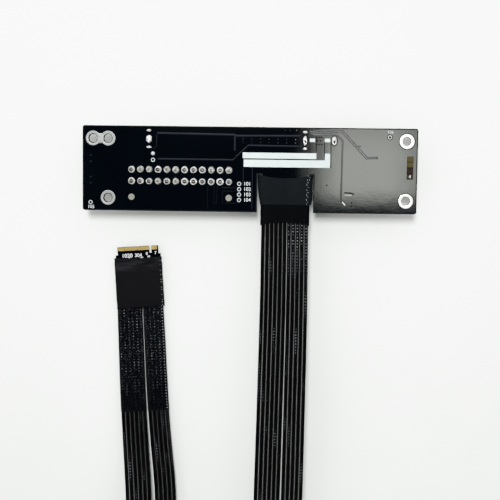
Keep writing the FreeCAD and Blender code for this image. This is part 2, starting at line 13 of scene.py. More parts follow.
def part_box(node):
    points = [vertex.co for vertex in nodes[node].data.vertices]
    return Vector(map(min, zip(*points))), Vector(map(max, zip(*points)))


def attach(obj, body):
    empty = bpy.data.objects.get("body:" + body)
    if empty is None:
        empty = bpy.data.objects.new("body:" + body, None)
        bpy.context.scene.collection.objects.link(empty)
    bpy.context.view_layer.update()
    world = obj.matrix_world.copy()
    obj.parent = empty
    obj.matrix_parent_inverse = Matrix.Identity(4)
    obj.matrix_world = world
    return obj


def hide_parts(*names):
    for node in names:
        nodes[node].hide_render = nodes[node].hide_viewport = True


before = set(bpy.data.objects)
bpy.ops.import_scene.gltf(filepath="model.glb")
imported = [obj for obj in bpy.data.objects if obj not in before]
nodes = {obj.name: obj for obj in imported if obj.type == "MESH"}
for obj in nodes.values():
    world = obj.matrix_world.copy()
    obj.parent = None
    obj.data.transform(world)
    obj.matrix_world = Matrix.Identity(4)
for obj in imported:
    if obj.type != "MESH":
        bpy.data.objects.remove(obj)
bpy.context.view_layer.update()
MM = 0.001

# Places that the CAD model gives
board_low, board_high = (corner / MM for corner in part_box("dock_board"))
board_top = board_high.z
board_under = board_low.z
tongue_x = 17.1
tongue_level = (board_top + board_under) / 2
pin_xs = [-55.8 + 4.2 * i for i in range(12)]
pin_rows = (-5.95, -0.45)
slot_y = 14.0

# Cable route from part.py: x, y, z in metres, roll in degrees, gap between ribbons and strip pitch in metres
cable_route = (
    (0.0171, -0.0156, 0.01205, 0, -0.0001, 0.00206),
    (0.0172, -0.0400, 0.01205, 0, -0.0001, 0.00208),
    (0.0172, -0.0660, 0.0127, 0, -0.0001, 0.00211),
    (0.0169, -0.0930, 0.0133, 0, 0.0, 0.00213),
    (0.0165, -0.1210, 0.0139, 0, 0.0001, 0.00214),
    (0.0161, -0.1480, 0.0144, 0, 0.0002, 0.00216),
    (0.0157, -0.1730, 0.0146, 9, 0.0003, 0.00216),
    (0.0240, -0.1990, 0.0142, 46, 0.0003, 0.00214),
    (0.0275, -0.2275, 0.0130, 74, 0.0003, 0.0021),
    (0.0125, -0.2520, 0.0121, 86, 0.0003, 0.0021),
    (-0.0155, -0.2625, 0.0119, 90, 0.0003, 0.0021),
    (-0.0435, -0.2520, 0.0119, 95, 0.0003, 0.0021),
    (-0.0570, -0.2280, 0.0120, 108, 0.0006, 0.0021),
    (-0.0530, -0.2030, 0.0113, 132, 0.0009, 0.00214),
    (-0.0458, -0.1800, 0.0086, 157, 0.0013, 0.00217),
    (-0.0469, -0.1570, 0.0052, 173, 0.0013, 0.00217),
    (-0.0494, -0.1330, 0.0029, 179, 0.0006, 0.00216),
    (-0.0512, -0.1070, 0.0018, 180, 0.0003, 0.00214),
    (-0.05230, -0.08066, 0.0017, 180, 0.0002, 0.00210),
    (-0.05359, -0.05671, 0.0017, 180, 0.0002, 0.00202),
)
route_steps = 24
cable_length = 0.5  # metres
six_strips = 6
five_strips = 5
film_gap = 0.36
strip_height = 1.22
film_thickness = 0.1
film_overlap = 0.12
wrap_end_y = -0.1195  # metres

# Edge plug: its tip, its turn in degrees and the height of its middle
plug_tip = (-54.45, -37.75)
plug_turn = 3.8
plug_height = 1.7
plug_board_top = plug_height + 0.4


# Helpers

def linear(colour):
    """An sRGB hex colour as linear light."""
    channels = [int(colour[i:i + 2], 16) / 255 for i in (1, 3, 5)]
    return tuple(c / 12.92 if c <= 0.04045 else ((c + 0.055) / 1.055) ** 2.4 for c in channels) + (1.0,)


def add(tree, kind, sockets=None, **settings):
    """Adds one shader node: its settings, then its sockets, each a value, another node's output, or another
    node, which stands for its first output."""
    made = tree.nodes.new("ShaderNode" + kind)
    for name, value in settings.items():
        setattr(made, name, value)
    for name, value in (sockets or {}).items():
        if isinstance(value, bpy.types.Node):
            value = value.outputs[0]
        if isinstance(value, bpy.types.NodeSocket):
            tree.links.new(value, made.inputs[name])
        else:
            made.inputs[name].default_value = value
    return made


def finish_of(name, colour, **constants):
    """A new material with its constants on the shader's own sockets."""
    material = bpy.data.materials.new(name)
    material.use_nodes = True
    tree = material.node_tree
    shader = tree.nodes["Principled BSDF"]
    shader.inputs["Base Color"].default_value = linear(colour)
    for socket, value in constants.items():
        shader.inputs[socket.replace("_", " ")].default_value = value
    return material, tree, shader


def patches(tree, shader, size, dark, light, detail=3.0, gloss=None, place=None):
    """Colour that drifts between two tones in patches about size millimetres across; so may the gloss."""
    place = place or add(tree, "TexCoord").outputs["Object"]
    cloud = add(tree, "TexNoise", {"Vector": place, "Scale": 1 / (size * MM), "Detail": detail})
    tones = add(tree, "Mix", {"Factor": cloud, "A": linear(dark), "B": linear(light)}, data_type="RGBA")
    tree.links.new(tones.outputs["Result"], shader.inputs["Base Color"])
    if gloss:
        dull = add(tree, "MapRange", {"Value": cloud, "From Min": 0.3, "From Max": 0.7,
                                      "To Min": gloss[0], "To Max": gloss[1]})
        tree.links.new(dull.outputs["Result"], shader.inputs["Roughness"])
    return tones


def swells(tree, shader, size, depth, detail=2.0, under=None, place=None):
    """A skin that rises and falls by depth millimetres in swells about size millimetres across."""
    place = place or add(tree, "TexCoord").outputs["Object"]
    cloud = add(tree, "TexNoise", {"Vector": place, "Scale": 1 / (size * MM), "Detail": detail})
    skin = add(tree, "Bump", {"Height": cloud, "Distance": depth * MM})
    if under:
        tree.links.new(under.outputs["Normal"], skin.inputs["Normal"])
    tree.links.new(skin.outputs["Normal"], shader.inputs["Normal"])
    return skin


def plain_finish(name, colour, tones, grain=None, gloss=None, **constants):
    """A material with patches of two tones, and swells where it has a grain."""
    material, tree, shader = finish_of(name, colour, **constants)
    patches(tree, shader, *tones, gloss=gloss)
    if grain:
        swells(tree, shader, *grain)
    return material


def lap_dots(tree, marks, lap_pitch, rib_pitch, rib_turn, edge, edge_width):
    """Laps along the marks' Y, and the dots where they cross the ribs along X, of which one more runs at the
    edge. Gives the laps, the dots and the distance from the edge."""
    turn = add(tree, "Math", {0: marks.outputs["Y"], 1: 2 * math.pi / lap_pitch}, operation="MULTIPLY")
    laps = add(tree, "Math", {0: turn}, operation="SINE")
    turn = add(tree, "Math", {0: marks.outputs["X"], 1: 2 * math.pi / rib_pitch, 2: rib_turn},
               operation="MULTIPLY_ADD")
    strip_ribs = add(tree, "Math", {0: turn}, operation="COSINE")
    from_edge = add(tree, "Math", {0: marks.outputs["X"], 1: edge}, operation="SUBTRACT")
    off_edge = add(tree, "Math", {0: from_edge}, operation="ABSOLUTE")
    edge_rib = add(tree, "MapRange", {"Value": off_edge, "From Max": edge_width,
                                      "To Min": 1.0, "To Max": -1.0})
    ribs = add(tree, "Math", {0: strip_ribs, 1: edge_rib}, operation="MAXIMUM")
    crossing = add(tree, "Math", {0: ribs, 1: laps}, operation="ADD")
    dots = add(tree, "MapRange", {"Value": crossing, "From Min": 1.4, "From Max": 1.85})
    return laps, dots, off_edge


def product(tree, fades, curve="LINEAR", times=1.0):
    """Fades multiplied together. Each has its source, where it starts and stops, and its values there."""
    for source, start, stop, at_start, at_stop in fades:
        fade = add(tree, "MapRange", {"Value": source, "From Min": start, "From Max": stop,
                                      "To Min": at_start, "To Max": at_stop}, interpolation_type=curve)
        times = add(tree, "Math", {0: fade, 1: times}, operation="MULTIPLY")
    return times


def film_with_painted_overlay(tree, shader, tones, overlay_tone, overlay_share, laps, depth, grain):
    """Film with patches of two tones that takes an overlay tone where overlay_share says: painted glints on
    the strips and the tape, and on the plug sleeve the thinner film with painted fold highlights and shade.
    Its laps rise by depth millimetres under its grain."""
    film = patches(tree, shader, *tones).outputs["Result"]
    whole = add(tree, "Mix", {"Factor": overlay_share, "A": film, "B": overlay_tone}, data_type="RGBA")
    tree.links.new(whole.outputs["Result"], shader.inputs["Base Color"])
    swells(tree, shader, *grain, under=add(tree, "Bump", {"Height": laps, "Distance": depth * MM}))


class Blank:
    """Points and faces of a piece in the making. Points are in metres."""

    def __init__(self):
        self.points = []
        self.marks = []
        self.faces = []
        self.kinds = []

    def loop(self, points, marks=None):
        first = len(self.points)
        self.points += [Vector(p) for p in points]
        self.marks += marks or [(0.0, 0.0)] * len(points)
        return list(range(first, len(self.points)))

    def bridge(self, near, far, kind=0, closed=True):
        count = len(near)
        for i in range(count if closed else count - 1):
            j = (i + 1) % count
            self.faces.append((near[i], near[j], far[j], far[i]))
            self.kinds.append(kind)

    def skin(self, loops, kind=0):
        for near, far in zip(loops, loops[1:]):
            self.bridge(near, far, kind)

    def cap(self, loop, kind=0):
        self.faces.append(tuple(loop))
        self.kinds.append(kind)

    def piece(self, name, *materials, slot=None, smooth=True):
        mesh = bpy.data.meshes.new(name)
        mesh.from_pydata(self.points, [], self.faces)
        mesh.polygons.foreach_set("material_index", self.kinds)
        mesh.polygons.foreach_set("use_smooth", [smooth] * len(self.faces))
        layer = mesh.uv_layers.new(name="strip")
        for corner in mesh.loops:
            layer.data[corner.index].uv = self.marks[corner.vertex_index]
        for material in materials:
            mesh.materials.append(material)
        mesh.validate()
        mesh.update()
        made = bpy.data.objects.new(name, mesh)
        bpy.context.scene.collection.objects.link(made)
        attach(made, "root")
        return made


def at(x, y, z):
    """A point given in millimetres, in the frame's metres."""
    return Vector((x, y, z)) * MM


def wave(x, y=0.0, z=0.0, size=1.0):
    """Smooth noise from -1 to 1 whose swells are about size apart."""
    return noise.noise(Vector((x, y, z)) / size)


# Materials

# Gloss black solder mask, curtain coated: a blue-black mirror whose skin ripples over the copper below.
solder_mask, tree, shader = finish_of("black_solder_mask", "#02060C", Roughness=0.04, IOR=1.52)
patches(tree, shader, 14.0, "#01040A", "#03090F")
ripple = swells(tree, shader, 7.0, 0.014, 1.0)
swells(tree, shader, 1.1, 0.006, under=ripple)

# Mask over the step of a copper edge: duller and greyer than the flat mask, so lines show on it.
masked_step = plain_finish("solder_mask_over_copper_step", "#141722", (3.0, "#0F121D", "#1A1D29"),
                           (0.8, 0.01), Roughness=0.42, IOR=1.52, Specular_IOR_Level=0.08)

# Mask over a thin trace: barely duller than the flat mask.
faint_step = plain_finish("solder_mask_over_thin_trace", "#0D0E15", (3.0, "#090A11", "#11121A"),
                          Roughness=0.15, IOR=1.52, Specular_IOR_Level=0.2)

# Mask over a wide track: a shade duller than the flat mask.
wide_track = plain_finish("solder_mask_over_wide_track", "#17181D", (3.0, "#131419", "#1D1E23"), (0.8, 0.008),
                          Roughness=0.22, IOR=1.52, Specular_IOR_Level=0.36)

# Glass-epoxy laminate where the router cut it or the mask stops short: dull and dark, with fibre ends.
bare_laminate = plain_finish("routed_glass_epoxy", "#0B0B0B", (0.6, "#070707", "#131312"), (0.25, 0.02),
                             Roughness=0.7, IOR=1.55, Specular_IOR_Level=0.12)

# Hot-tinned copper: bright and satin, a little uneven.
tinned_copper = plain_finish("hot_tinned_copper", "#BCC4C4", (2.2, "#B4BDBD", "#C5CCCC"), (1.1, 0.012),
                             gloss=(0.56, 0.64), Metallic=1.0, Roughness=0.6)

# The same tin painted darker and greyer as painted shade, so the left-hand eyelets, which reflect less of the
# lamps, are greyer than the bars.
tin_painted_shade = plain_finish("hot_tinned_copper_painted_shade", "#848684", (1.6, "#767877", "#929492"), (0.9, 0.012),
                          gloss=(0.42, 0.56), Metallic=1.0, Roughness=0.5)

# Plated hole walls, closed test-point wells and the hollows round pins and legs: tin painted nearly black as
# painted shade of these recesses.
recess_painted_shade = plain_finish("tin_painted_black_as_shade", "#0E0D0C", (0.7, "#080807", "#181715"),
                              Metallic=0.3, Roughness=0.6, Specular_IOR_Level=0.2)

# Hand-fed solder: bright and lumpy, with flux stains in its hollows.
solder = plain_finish("tin_solder", "#E9EAE8", (1.2, "#C8C8C4", "#FDFDFC"), (0.8, 0.008),
                      gloss=(0.28, 0.38), Metallic=1.0, Roughness=0.32)

# Solder that cooled while it was moved: frosted, greyer and in coarse grains.
frosted_solder = plain_finish("frosted_tin_solder", "#A4A59E", (0.9, "#6E6F69", "#DADBD6"), (0.8, 0.02),
                              gloss=(0.42, 0.56), Metallic=1.0, Roughness=0.5)

# Tinned spring steel: grey and satin, finely uneven.
tinned_steel = plain_finish("tinned_steel", "#B9BAB8", (0.5, "#A9AAA8", "#C6C7C5"), (0.3, 0.01),
                            gloss=(0.28, 0.48), Metallic=1.0, Roughness=0.36)

# Tinned brass pins: grey, a little warm where the tin is thin.
tinned_brass = plain_finish("tinned_brass", "#6C6961", (1.0, "#56534B", "#86837C"), (0.4, 0.01),
                            Metallic=1.0, Roughness=0.45)

# Glass-filled moulding: black and dull, with a faint grain of fibres at its skin.
slot_plastic = plain_finish("glass_filled_nylon", "#141416", (0.9, "#0F0F11", "#1E1E21", 4.0),
                            (0.35, 0.012, 3.0), Roughness=0.52, IOR=1.53)

# Gold flash over nickel: warm and bright, worn paler where the plug has been pushed in.
contact_gold = plain_finish("gold_flash", "#C6A562", (0.9, "#B8944D", "#D2BA88"),
                            gloss=(0.26, 0.38), Metallic=1.0, Roughness=0.32)

# Natural nylon: ivory whose grey is partly its own tone and partly painted shade of the holes the peg ends
# sit in; slightly see-through, with the dull skin of its mould.
natural_nylon = plain_finish("natural_nylon", "#767569", (1.6, "#67665C", "#87867B"), (0.5, 0.01, 3.0),
                             Roughness=0.48, IOR=1.53, Subsurface_Weight=0.2, Subsurface_Scale=0.001)

# Drawn aluminium can: satin, with fine rings from the drawing die.
can_aluminium, tree, shader = finish_of("drawn_aluminium", "#C6C8CA", Metallic=1.0, Roughness=0.3)
drawn = add(tree, "Mapping", {"Vector": add(tree, "TexCoord").outputs["Object"], "Scale": (0.2, 0.2, 6.0)})
patches(tree, shader, 0.8, "#BDBFC1", "#CFD1D3", gloss=(0.24, 0.4), place=drawn)

# Fired ceramic: tan, dull and speckled.
tan_ceramic = plain_finish("fired_ceramic", "#9C7B55", (0.25, "#8A6A46", "#AD8E68"), Roughness=0.6, IOR=1.6)

# Moulded epoxy: charcoal black, finely matt.
chip_black = plain_finish("moulded_epoxy", "#1B1B1C", (0.3, "#151516", "#252527"), (0.15, 0.006),
                          Roughness=0.55, IOR=1.55)

# Clear epoxy lens over a white cup: milky and glossy.
led_lens = plain_finish("clear_epoxy_over_white_cup", "#EFEBDC", (0.6, "#E6E0C8", "#F6F4EC"),
                        Roughness=0.18, IOR=1.54, Subsurface_Weight=0.3, Subsurface_Scale=0.0006)

# Shrunk polyolefin sleeve: charcoal, matt, drawn into fine diagonal wrinkles as it shrank.
shrink_sleeve, tree, shader = finish_of("shrunk_polyolefin", "#0B1114", Roughness=0.66, IOR=1.5,
                                        Specular_IOR_Level=0.09)
patches(tree, shader, 5.0, "#090F12", "#101619", 4.0, gloss=(0.58, 0.74))
slant = add(tree, "Mapping", {"Vector": add(tree, "TexCoord").outputs["Object"],
                              "Rotation": (0.0, 0.0, 0.6), "Scale": (3.0, 0.6, 1.0)})
folds = swells(tree, shader, 2.0, 0.05, place=slant)
swells(tree, shader, 0.3, 0.012, under=folds)

# Thin inner sleeve, tight on the strips: blacker and smoother than the outer one.
thin_sleeve = plain_finish("thin_shrunk_polyolefin", "#030508", (5.0, "#020306", "#04070A"), (0.4, 0.012),
                           gloss=(0.5, 0.66), Roughness=0.6, IOR=1.5, Specular_IOR_Level=0.03)

# Sleeve over the plug: warm black, smooth where it is stretched tight. Over the plug's bare board it is drawn
# thin, greyer and in small diagonal wrinkles, along which its tone drifts lighter and darker as painted
# highlight and painted shade of the folds. The mark's Y is the distance behind the plug's tip.
plug_film, tree, shader = finish_of("stretched_polyolefin", "#0C0B0E", Roughness=0.6, IOR=1.5,
                                    Specular_IOR_Level=0.07)
slant = add(tree, "Mapping", {"Vector": add(tree, "TexCoord").outputs["Object"],
                              "Rotation": (0.0, 0.0, 0.2), "Scale": (0.3, 1.4, 1.0)})
marks = add(tree, "SeparateXYZ", {"Vector": add(tree, "UVMap", uv_map="strip")})
wrinkles = add(tree, "TexNoise", {"Vector": slant, "Scale": 1 / (3.2 * MM), "Detail": 2.0})
thin_line = add(tree, "Math", {0: wrinkles, 1: 5.0, 2: marks.outputs["Y"]}, operation="MULTIPLY_ADD")
thinned = add(tree, "MapRange", {"Value": thin_line, "From Min": 14.6, "From Max": 10.4},
              interpolation_type="SMOOTHSTEP")
# Painted highlight and painted shade of the folds, following the wrinkles
fold_sheen_share = add(tree, "MapRange", {"Value": wrinkles, "From Min": 0.36, "From Max": 0.64})
thin_tone_with_fold_sheen = add(tree, "Mix", {"Factor": fold_sheen_share, "A": linear("#2B2B2E"), "B": linear("#0E0E11")},
                 data_type="RGBA")
folds = add(tree, "Math", {0: wrinkles, 1: thinned}, operation="MULTIPLY")
film_with_painted_overlay(tree, shader, (4.0, "#0A090C", "#100F12", 3.0, (0.52, 0.68)), thin_tone_with_fold_sheen.outputs["Result"], thinned,
          folds, 0.35, (0.35, 0.012))

# Painted glints on the sleeve film's pinches and along the plug sleeve's right edge: pale marks in place of
# highlights on crinkled film.
glint_film = plain_finish("polyolefin_painted_glint", "#C4C8CC", (0.5, "#8E9296", "#DDE0E3"),
                             Roughness=0.5, IOR=1.5)

# Strip jacket: smooth black film wound round twin cores. Its laps, 0.77 mm apart but drawn wider so that they
# show, carry painted glints as pale dots in places along the strip's shoulder and towards both ends of the
# five-strip ribbon's outer edge. Beside the collar on that ribbon the film carries painted glints in a crazed
# pattern.
# The mark's X is ten a strip plus the place across, its Y is the distance.
ribbon_jacket, tree, shader = finish_of("wound_black_film", "#030304", Roughness=0.13, IOR=1.5,
                                        Specular_IOR_Level=0.14)
marks = add(tree, "SeparateXYZ", {"Vector": add(tree, "UVMap", uv_map="strip")})
laps, dots, off_edge = lap_dots(tree, marks, lap_pitch=1.45, rib_pitch=10, rib_turn=-0.4, edge=98.6,
                                edge_width=1.0)
stretch = add(tree, "Mapping", {"Vector": add(tree, "UVMap", uv_map="strip"), "Scale": (0.07, 0.05, 1.0)})
glint_cloud = add(tree, "TexNoise", {"Vector": stretch, "Scale": 1.0, "Detail": 3.0})
glint_patch = add(tree, "MapRange", {"Value": glint_cloud, "From Min": 0.59, "From Max": 0.72, "To Max": 0.8})
middle_run = add(tree, "Math", {0: marks.outputs["Y"], 1: 230.0, 2: 175.0}, operation="COMPARE")
near_ends = add(tree, "Math", {0: 0.9, 1: middle_run}, operation="SUBTRACT", use_clamp=True)
by_edge = add(tree, "Math", {0: off_edge, 1: 1.0}, operation="LESS_THAN")
edge_glints = add(tree, "Math", {0: by_edge, 1: near_ends}, operation="MULTIPLY")
crazed_glint_noise = add(tree, "TexNoise", {"Vector": add(tree, "TexCoord").outputs["Object"],
                                "Scale": 1 / (1.3 * MM), "Detail": 2.0})
by_collar = (marks.outputs["Y"], 34.0, 20.0, 0.0, 1.0)
on_five = (marks.outputs["X"], 60.0, 80.0, 0.0, 1.0)
crazed_glints = product(tree, (by_collar, on_five, (crazed_glint_noise, 0.38, 0.6, 0.0, 1.0)))
any_glints = add(tree, "Math", {0: glint_patch, 1: edge_glints}, operation="MAXIMUM")
strength = add(tree, "Math", {0: any_glints, 1: crazed_glints}, operation="MAXIMUM")
# Painted glints: the laps' dots take the pale tone in the glint patches, by the edge and beside the collar
pale = add(tree, "Math", {0: dots, 1: strength}, operation="MULTIPLY")
film_with_painted_overlay(tree, shader, (9.0, "#020203", "#050506"), linear("#A2A8AE"), pale, laps, 0.004, (1.6, 0.012))

# Film between the strips: smoke-dark and thin, so the table shows through it dimly.
smoke_film = plain_finish("smoked_polyester_film", "#303336", (6.0, "#26292B", "#3C4043"), (1.5, 0.02),
                          Roughness=0.25, IOR=1.6, Alpha=0.42)

# Wrap near the plug: black tape creped over the strips. Its ribs, 0.85 mm apart but drawn wider so that they
# show, carry painted glints as columns of pale dots, most of all along the five-strip ribbon's outer edge,
# and as fine pale specks, more towards the plug. The mark's X counts the strips, from 20 on the five-strip
# ribbon, and its Y is the distance.
wrap_tape, tree, shader = finish_of("creped_black_tape", "#06070A", Roughness=0.24, IOR=1.5,
                                    Specular_IOR_Level=0.08)
marks = add(tree, "SeparateXYZ", {"Vector": add(tree, "UVMap", uv_map="strip")})
laps, dots, off_edge = lap_dots(tree, marks, lap_pitch=1.45, rib_pitch=1, rib_turn=-2.26, edge=20.36,
                                edge_width=0.26)
stretch = add(tree, "Mapping", {"Vector": add(tree, "UVMap", uv_map="strip"), "Scale": (1.3, 0.2, 1.0)})
glint_cloud = add(tree, "TexNoise", {"Vector": stretch, "Scale": 1.0, "Detail": 4.0})
by_plug = (marks.outputs["Y"], 438.0, 462.0, 0.12, 1.0)
glint_patch = product(tree, ((glint_cloud, 0.46, 0.76, 0.03, 1.0), by_plug))
by_edge = add(tree, "MapRange", {"Value": off_edge, "From Min": 0.2, "From Max": 0.3,
                                 "To Min": 0.9, "To Max": 0.0})
strength = add(tree, "Math", {0: glint_patch, 1: by_edge}, operation="MAXIMUM")
# Painted glints: the pale tone on the ribs' dots and on fine specks
rib_glints = add(tree, "Math", {0: dots, 1: strength}, operation="MULTIPLY")
glint_specks = add(tree, "TexNoise", {"Vector": add(tree, "TexCoord").outputs["Object"],
                                "Scale": 1 / (0.6 * MM), "Detail": 2.0})
speck_glints = product(tree, ((glint_specks, 0.6, 0.76, 0.0, 0.4), by_plug))
tape_glints = add(tree, "Math", {0: rib_glints, 1: speck_glints}, operation="MAXIMUM")
film_with_painted_overlay(tree, shader, (4.0, "#030408", "#07090E"), linear("#9BA0A4"), tape_glints, laps, 0.006, (0.8, 0.02))

# Screen ink: flat white, a little thin in places.
screen_ink = plain_finish("white_screen_ink", "#E4E6E6", (0.5, "#C6C9CA", "#F2F4F4"), Roughness=0.6, IOR=1.5)

# Laminate seen through a window in the mask: olive resin over woven glass, deeper where copper lies below.
window_olive = plain_finish("clear_resin_over_glass_weave", "#453D1A", (0.5, "#3A3315", "#534A24"),
                            Roughness=0.6, IOR=1.55, Specular_IOR_Level=0.25)
window_brown = plain_finish("clear_resin_over_copper", "#1E0D0A", (0.5, "#170907", "#291511"),
                            Roughness=0.6, IOR=1.55, Specular_IOR_Level=0.2)
window_dark = plain_finish("clear_resin_over_black_core", "#2A2510", (0.5, "#211D0B", "#363016"),
                           Roughness=0.6, IOR=1.55, Specular_IOR_Level=0.2)

# Printed black patch on a can's end.
can_ink = plain_finish("black_pad_print", "#101012", (0.4, "#0C0C0E", "#18181A"), Roughness=0.5, IOR=1.5)

# Table: white laminate, very slightly uneven.
table_white = plain_finish("white_laminate", "#F0F2F0", (60.0, "#ECEFEC", "#F4F6F4"), Roughness=0.6, IOR=1.5)

node_finishes = {
    "dock_board": solder_mask, "power_bars": tinned_copper,
    "slot_housing": slot_plastic, "slot_contacts": contact_gold, "slot_hold_downs": tinned_steel,
    "slot_board_locks": tinned_steel, "power_header_housing": natural_nylon,
    "power_header_pins": tinned_brass, "bulk_capacitor_bases": slot_plastic,
    "bulk_capacitor_cans": can_aluminium, "ceramic_capacitors": tan_ceramic, "chip_resistors": chip_black,
    "power_led": led_lens, "load_switch": chip_black, "dock_wire_tails": tinned_copper,
    "plug_board": solder_mask, "plug_contacts": contact_gold, "plug_wire_tails": tinned_copper,
}
for name, finish in node_finishes.items():
    for place in nodes[name].material_slots:
        place.material = finish


# Cable

def read_curve(curve):
    """Points and faces of a curve's shape. The curve itself is removed."""
    holder = bpy.data.objects.new(curve.name, curve)
    mesh = bpy.data.meshes.new_from_object(holder)
    points = [vertex.co.copy() for vertex in mesh.vertices]
    faces = [tuple(face.vertices) for face in mesh.polygons]
    bpy.data.objects.remove(holder)
    bpy.data.curves.remove(curve)
    bpy.data.meshes.remove(mesh)
    return points, faces


def along_spline(rows):
    """Points read from one smooth spline with these rows as its control points."""
    curve = bpy.data.curves.new("cable_route", "CURVE")
    curve.dimensions = "3D"
    curve.resolution_u = route_steps
    spline = curve.splines.new("NURBS")
    spline.points.add(len(rows) - 1)
    for point, row in zip(spline.points, rows):
        point.co = (*row, 1.0)
    spline.order_u = 3
    spline.use_endpoint_u = True
    return read_curve(curve)[0]


def cable_stations():
    """Along the cable: middle, direction across it, direction out of its face, gap, pitch, distance."""
    middles = along_spline([row[:3] for row in cable_route])
    lays = along_spline([row[3:] for row in cable_route])
    stations = []
    travelled = 0.0
    for i, (middle, lay) in enumerate(zip(middles, lays)):
        ahead = middles[min(i + 1, len(middles) - 1)] - middles[max(i - 1, 0)]
        ahead.normalize()
        level = ahead.cross(Vector((0, 0, 1))).normalized()
        upright = level.cross(ahead)
        roll = math.radians(lay.x)
        across = level * math.cos(roll) + upright * math.sin(roll)
        if i:
            travelled += (middle - middles[i - 1]).length
        stations.append((middle, across, across.cross(ahead), lay.y, lay.z, travelled))
    return stations


def ribbon_place(strips, gap, pitch):
    """How far a ribbon's middle lies to the side of the cable's middle."""
    total = six_strips + five_strips
    side = 1 if strips == six_strips else -1
    return side * ((total - strips) / 2 * pitch + gap / 2)


def ribbon(name, strips, seed, first_mark):
    """A row of flat oval strips joined by film, along the cable."""
    blank = Blank()
    around = 12
    outline = []
    for k in range(around):
        angle = 2 * math.pi * k / around - math.pi / 2
        c, s = math.cos(angle), math.sin(angle)
        outline.append((math.copysign(abs(c) ** 0.7, c), math.copysign(abs(s) ** 0.8, s)))
    reach = (film_gap / 2 + film_overlap) * MM
    path = []
    last = None
    for middle, across, out, gap, pitch, travelled in stations:
        centre = middle + across * ribbon_place(strips, gap, pitch)
        path.append(centre)
        loops = []
        for j in range(strips):
            shift = (j - (strips - 1) / 2) * pitch
            key = seed + 7.3 * j
            sway = 0.05 * MM * wave(travelled / MM, key, size=18.0)
            lift = 0.07 * MM * wave(travelled / MM, key + 40, size=26.0)
            slack = film_gap * MM * (1 + 0.4 * wave(key, 5.0, size=2.7))
            half = (pitch - slack) / 2 * (1 + 0.03 * wave(travelled / MM, key + 80, size=9.0))
            ring = [centre + across * (shift + sway + half * a) + out * (lift + strip_height / 2 * MM * b)
                    for a, b in outline]
            marks = [(first_mark + 10.0 * j + 4.0 * a, travelled / MM) for a, b in outline]
            loops.append(blank.loop(ring, marks))
        films = []
        for j in range(strips - 1):
            shift = (j - (strips - 2) / 2) * pitch
            sheet = [centre + across * (shift + a * reach) + out * (b * film_thickness * MM / 2)
                     for a, b in ((-1, 1), (1, 1), (1, -1), (-1, -1))]
            films.append(blank.loop(sheet))
        if last:
            for near, far in zip(last[0], loops):
                blank.bridge(near, far)
            for near, far in zip(last[1], films):
                blank.bridge(near, far, kind=1)
        else:
            for loop in loops + films:
                blank.cap(loop[::-1])
        last = (loops, films)
    for loop in last[0] + last[1]:
        blank.cap(loop)
    return blank.piece(name, ribbon_jacket, smoke_film, slot="ribbon_jacket"), path


def wrap(name, strips, seed, first_mark):
    """Black tape round a ribbon, from inside the plug's sleeve to where the strips part."""
    blank = Blank()
    count = strips * 6
    loops = []
    for middle, across, out, gap, pitch, travelled in stations:
        if travelled < cable_length / 2 or middle.y < wrap_end_y:
            continue
        centre = middle + across * ribbon_place(strips, gap, pitch)
        half = strips * pitch / 2 - 0.1 * MM
        ring = []
        marks = []
        for face in (1, -1):
            for k in range(count + 1):
                a = face * (1 - 2 * k / count)
                swell = 0.5 + 0.5 * math.cos(2 * math.pi * strips * (a + 1) / 2 + math.pi)
                edge = 1 - abs(a) ** 14
                rise = (0.52 + 0.1 * swell) * edge + 0.12
                rise += 0.03 * wave(a * half / MM, travelled / MM, seed, 1.3)
                ring.append(centre + across * (a * half) + out * (face * rise * MM))
                marks.append((first_mark + strips * (a + 1) / 2, travelled / MM))
        loops.append(blank.loop(ring, marks))
    blank.cap(loops[0][::-1])
    blank.skin(loops)
    blank.cap(loops[-1])
    return blank.piece(name, wrap_tape, slot="ribbon_jacket")


stations = cable_stations()


# Sleeves

def flat_outline(width, height, count):
    """Round a flat tube's section: across, up, and the outward direction at each point."""
    radius = height / 2
    straight = width - height
    bend = math.pi * radius
    found = []
    for k in range(count):
        s = k / count * 2 * (straight + bend)
        side = 1
        if s >= straight + bend:
            s -= straight + bend
            side = -1
        if s < straight:
            found.append((side * (s - straight / 2), side * radius, 0.0, side))
        else:
            turn = (s - straight) / radius
            found.append((side * (straight / 2 + radius * math.sin(turn)), side * radius * math.cos(turn),
                          side * math.sin(turn), side * math.cos(turn)))
    return found


def sleeve(name, place, section, ends, wall, crumple, finish, rows=46, around=168):
    """A flat shrunk tube. place turns (across, along, up) into a point, section gives width and height
    along it, ends gives its two rims at a place across, and crumple moves the skin out or in."""
    blank = Blank()
    skins = []
    for inset in (0.0, wall):
        loops = []
        for i in range(rows + 1):
            share = i / rows
            width, height = section(share)
            ring = []
            marks = []
            for a, u, da, du in flat_outline(width - 2 * inset, height - 2 * inset, around):
                start, stop = ends(a / (width / 2))
                along = start + (stop - start) * share
                push = crumple(a, along, u) if not inset else min(0.0, crumple(a, along, u))
                ring.append(place(a + da * push, along, u + du * push))
                marks.append((a, along))
            loops.append(blank.loop(ring, marks))
        skins.append(loops)
    outer, inner = skins
    for near, far in zip(outer, outer[1:]):
        blank.bridge(far, near)
    blank.skin(inner)
    blank.bridge(outer[0], inner[0])
    blank.bridge(inner[-1], outer[-1])
    return blank.piece(name, finish, slot="shrink_sleeve")


# Where the sleeves lie and how they are shaped, each as sleeve asks for it. a is across, u is up
def on_tongue(a, along, u):
    return at(tongue_x + a, along, tongue_level + u)


def on_plug(a, behind, u):
    turn = math.radians(plug_turn)
    x = plug_tip[0] + a * math.cos(turn) + behind * math.sin(turn)
    y = plug_tip[1] + a * math.sin(turn) - behind * math.cos(turn)
    return at(x, y, plug_height + u)


def over_plug(a, behind, u):
    return on_plug(a - 0.3, behind, u)


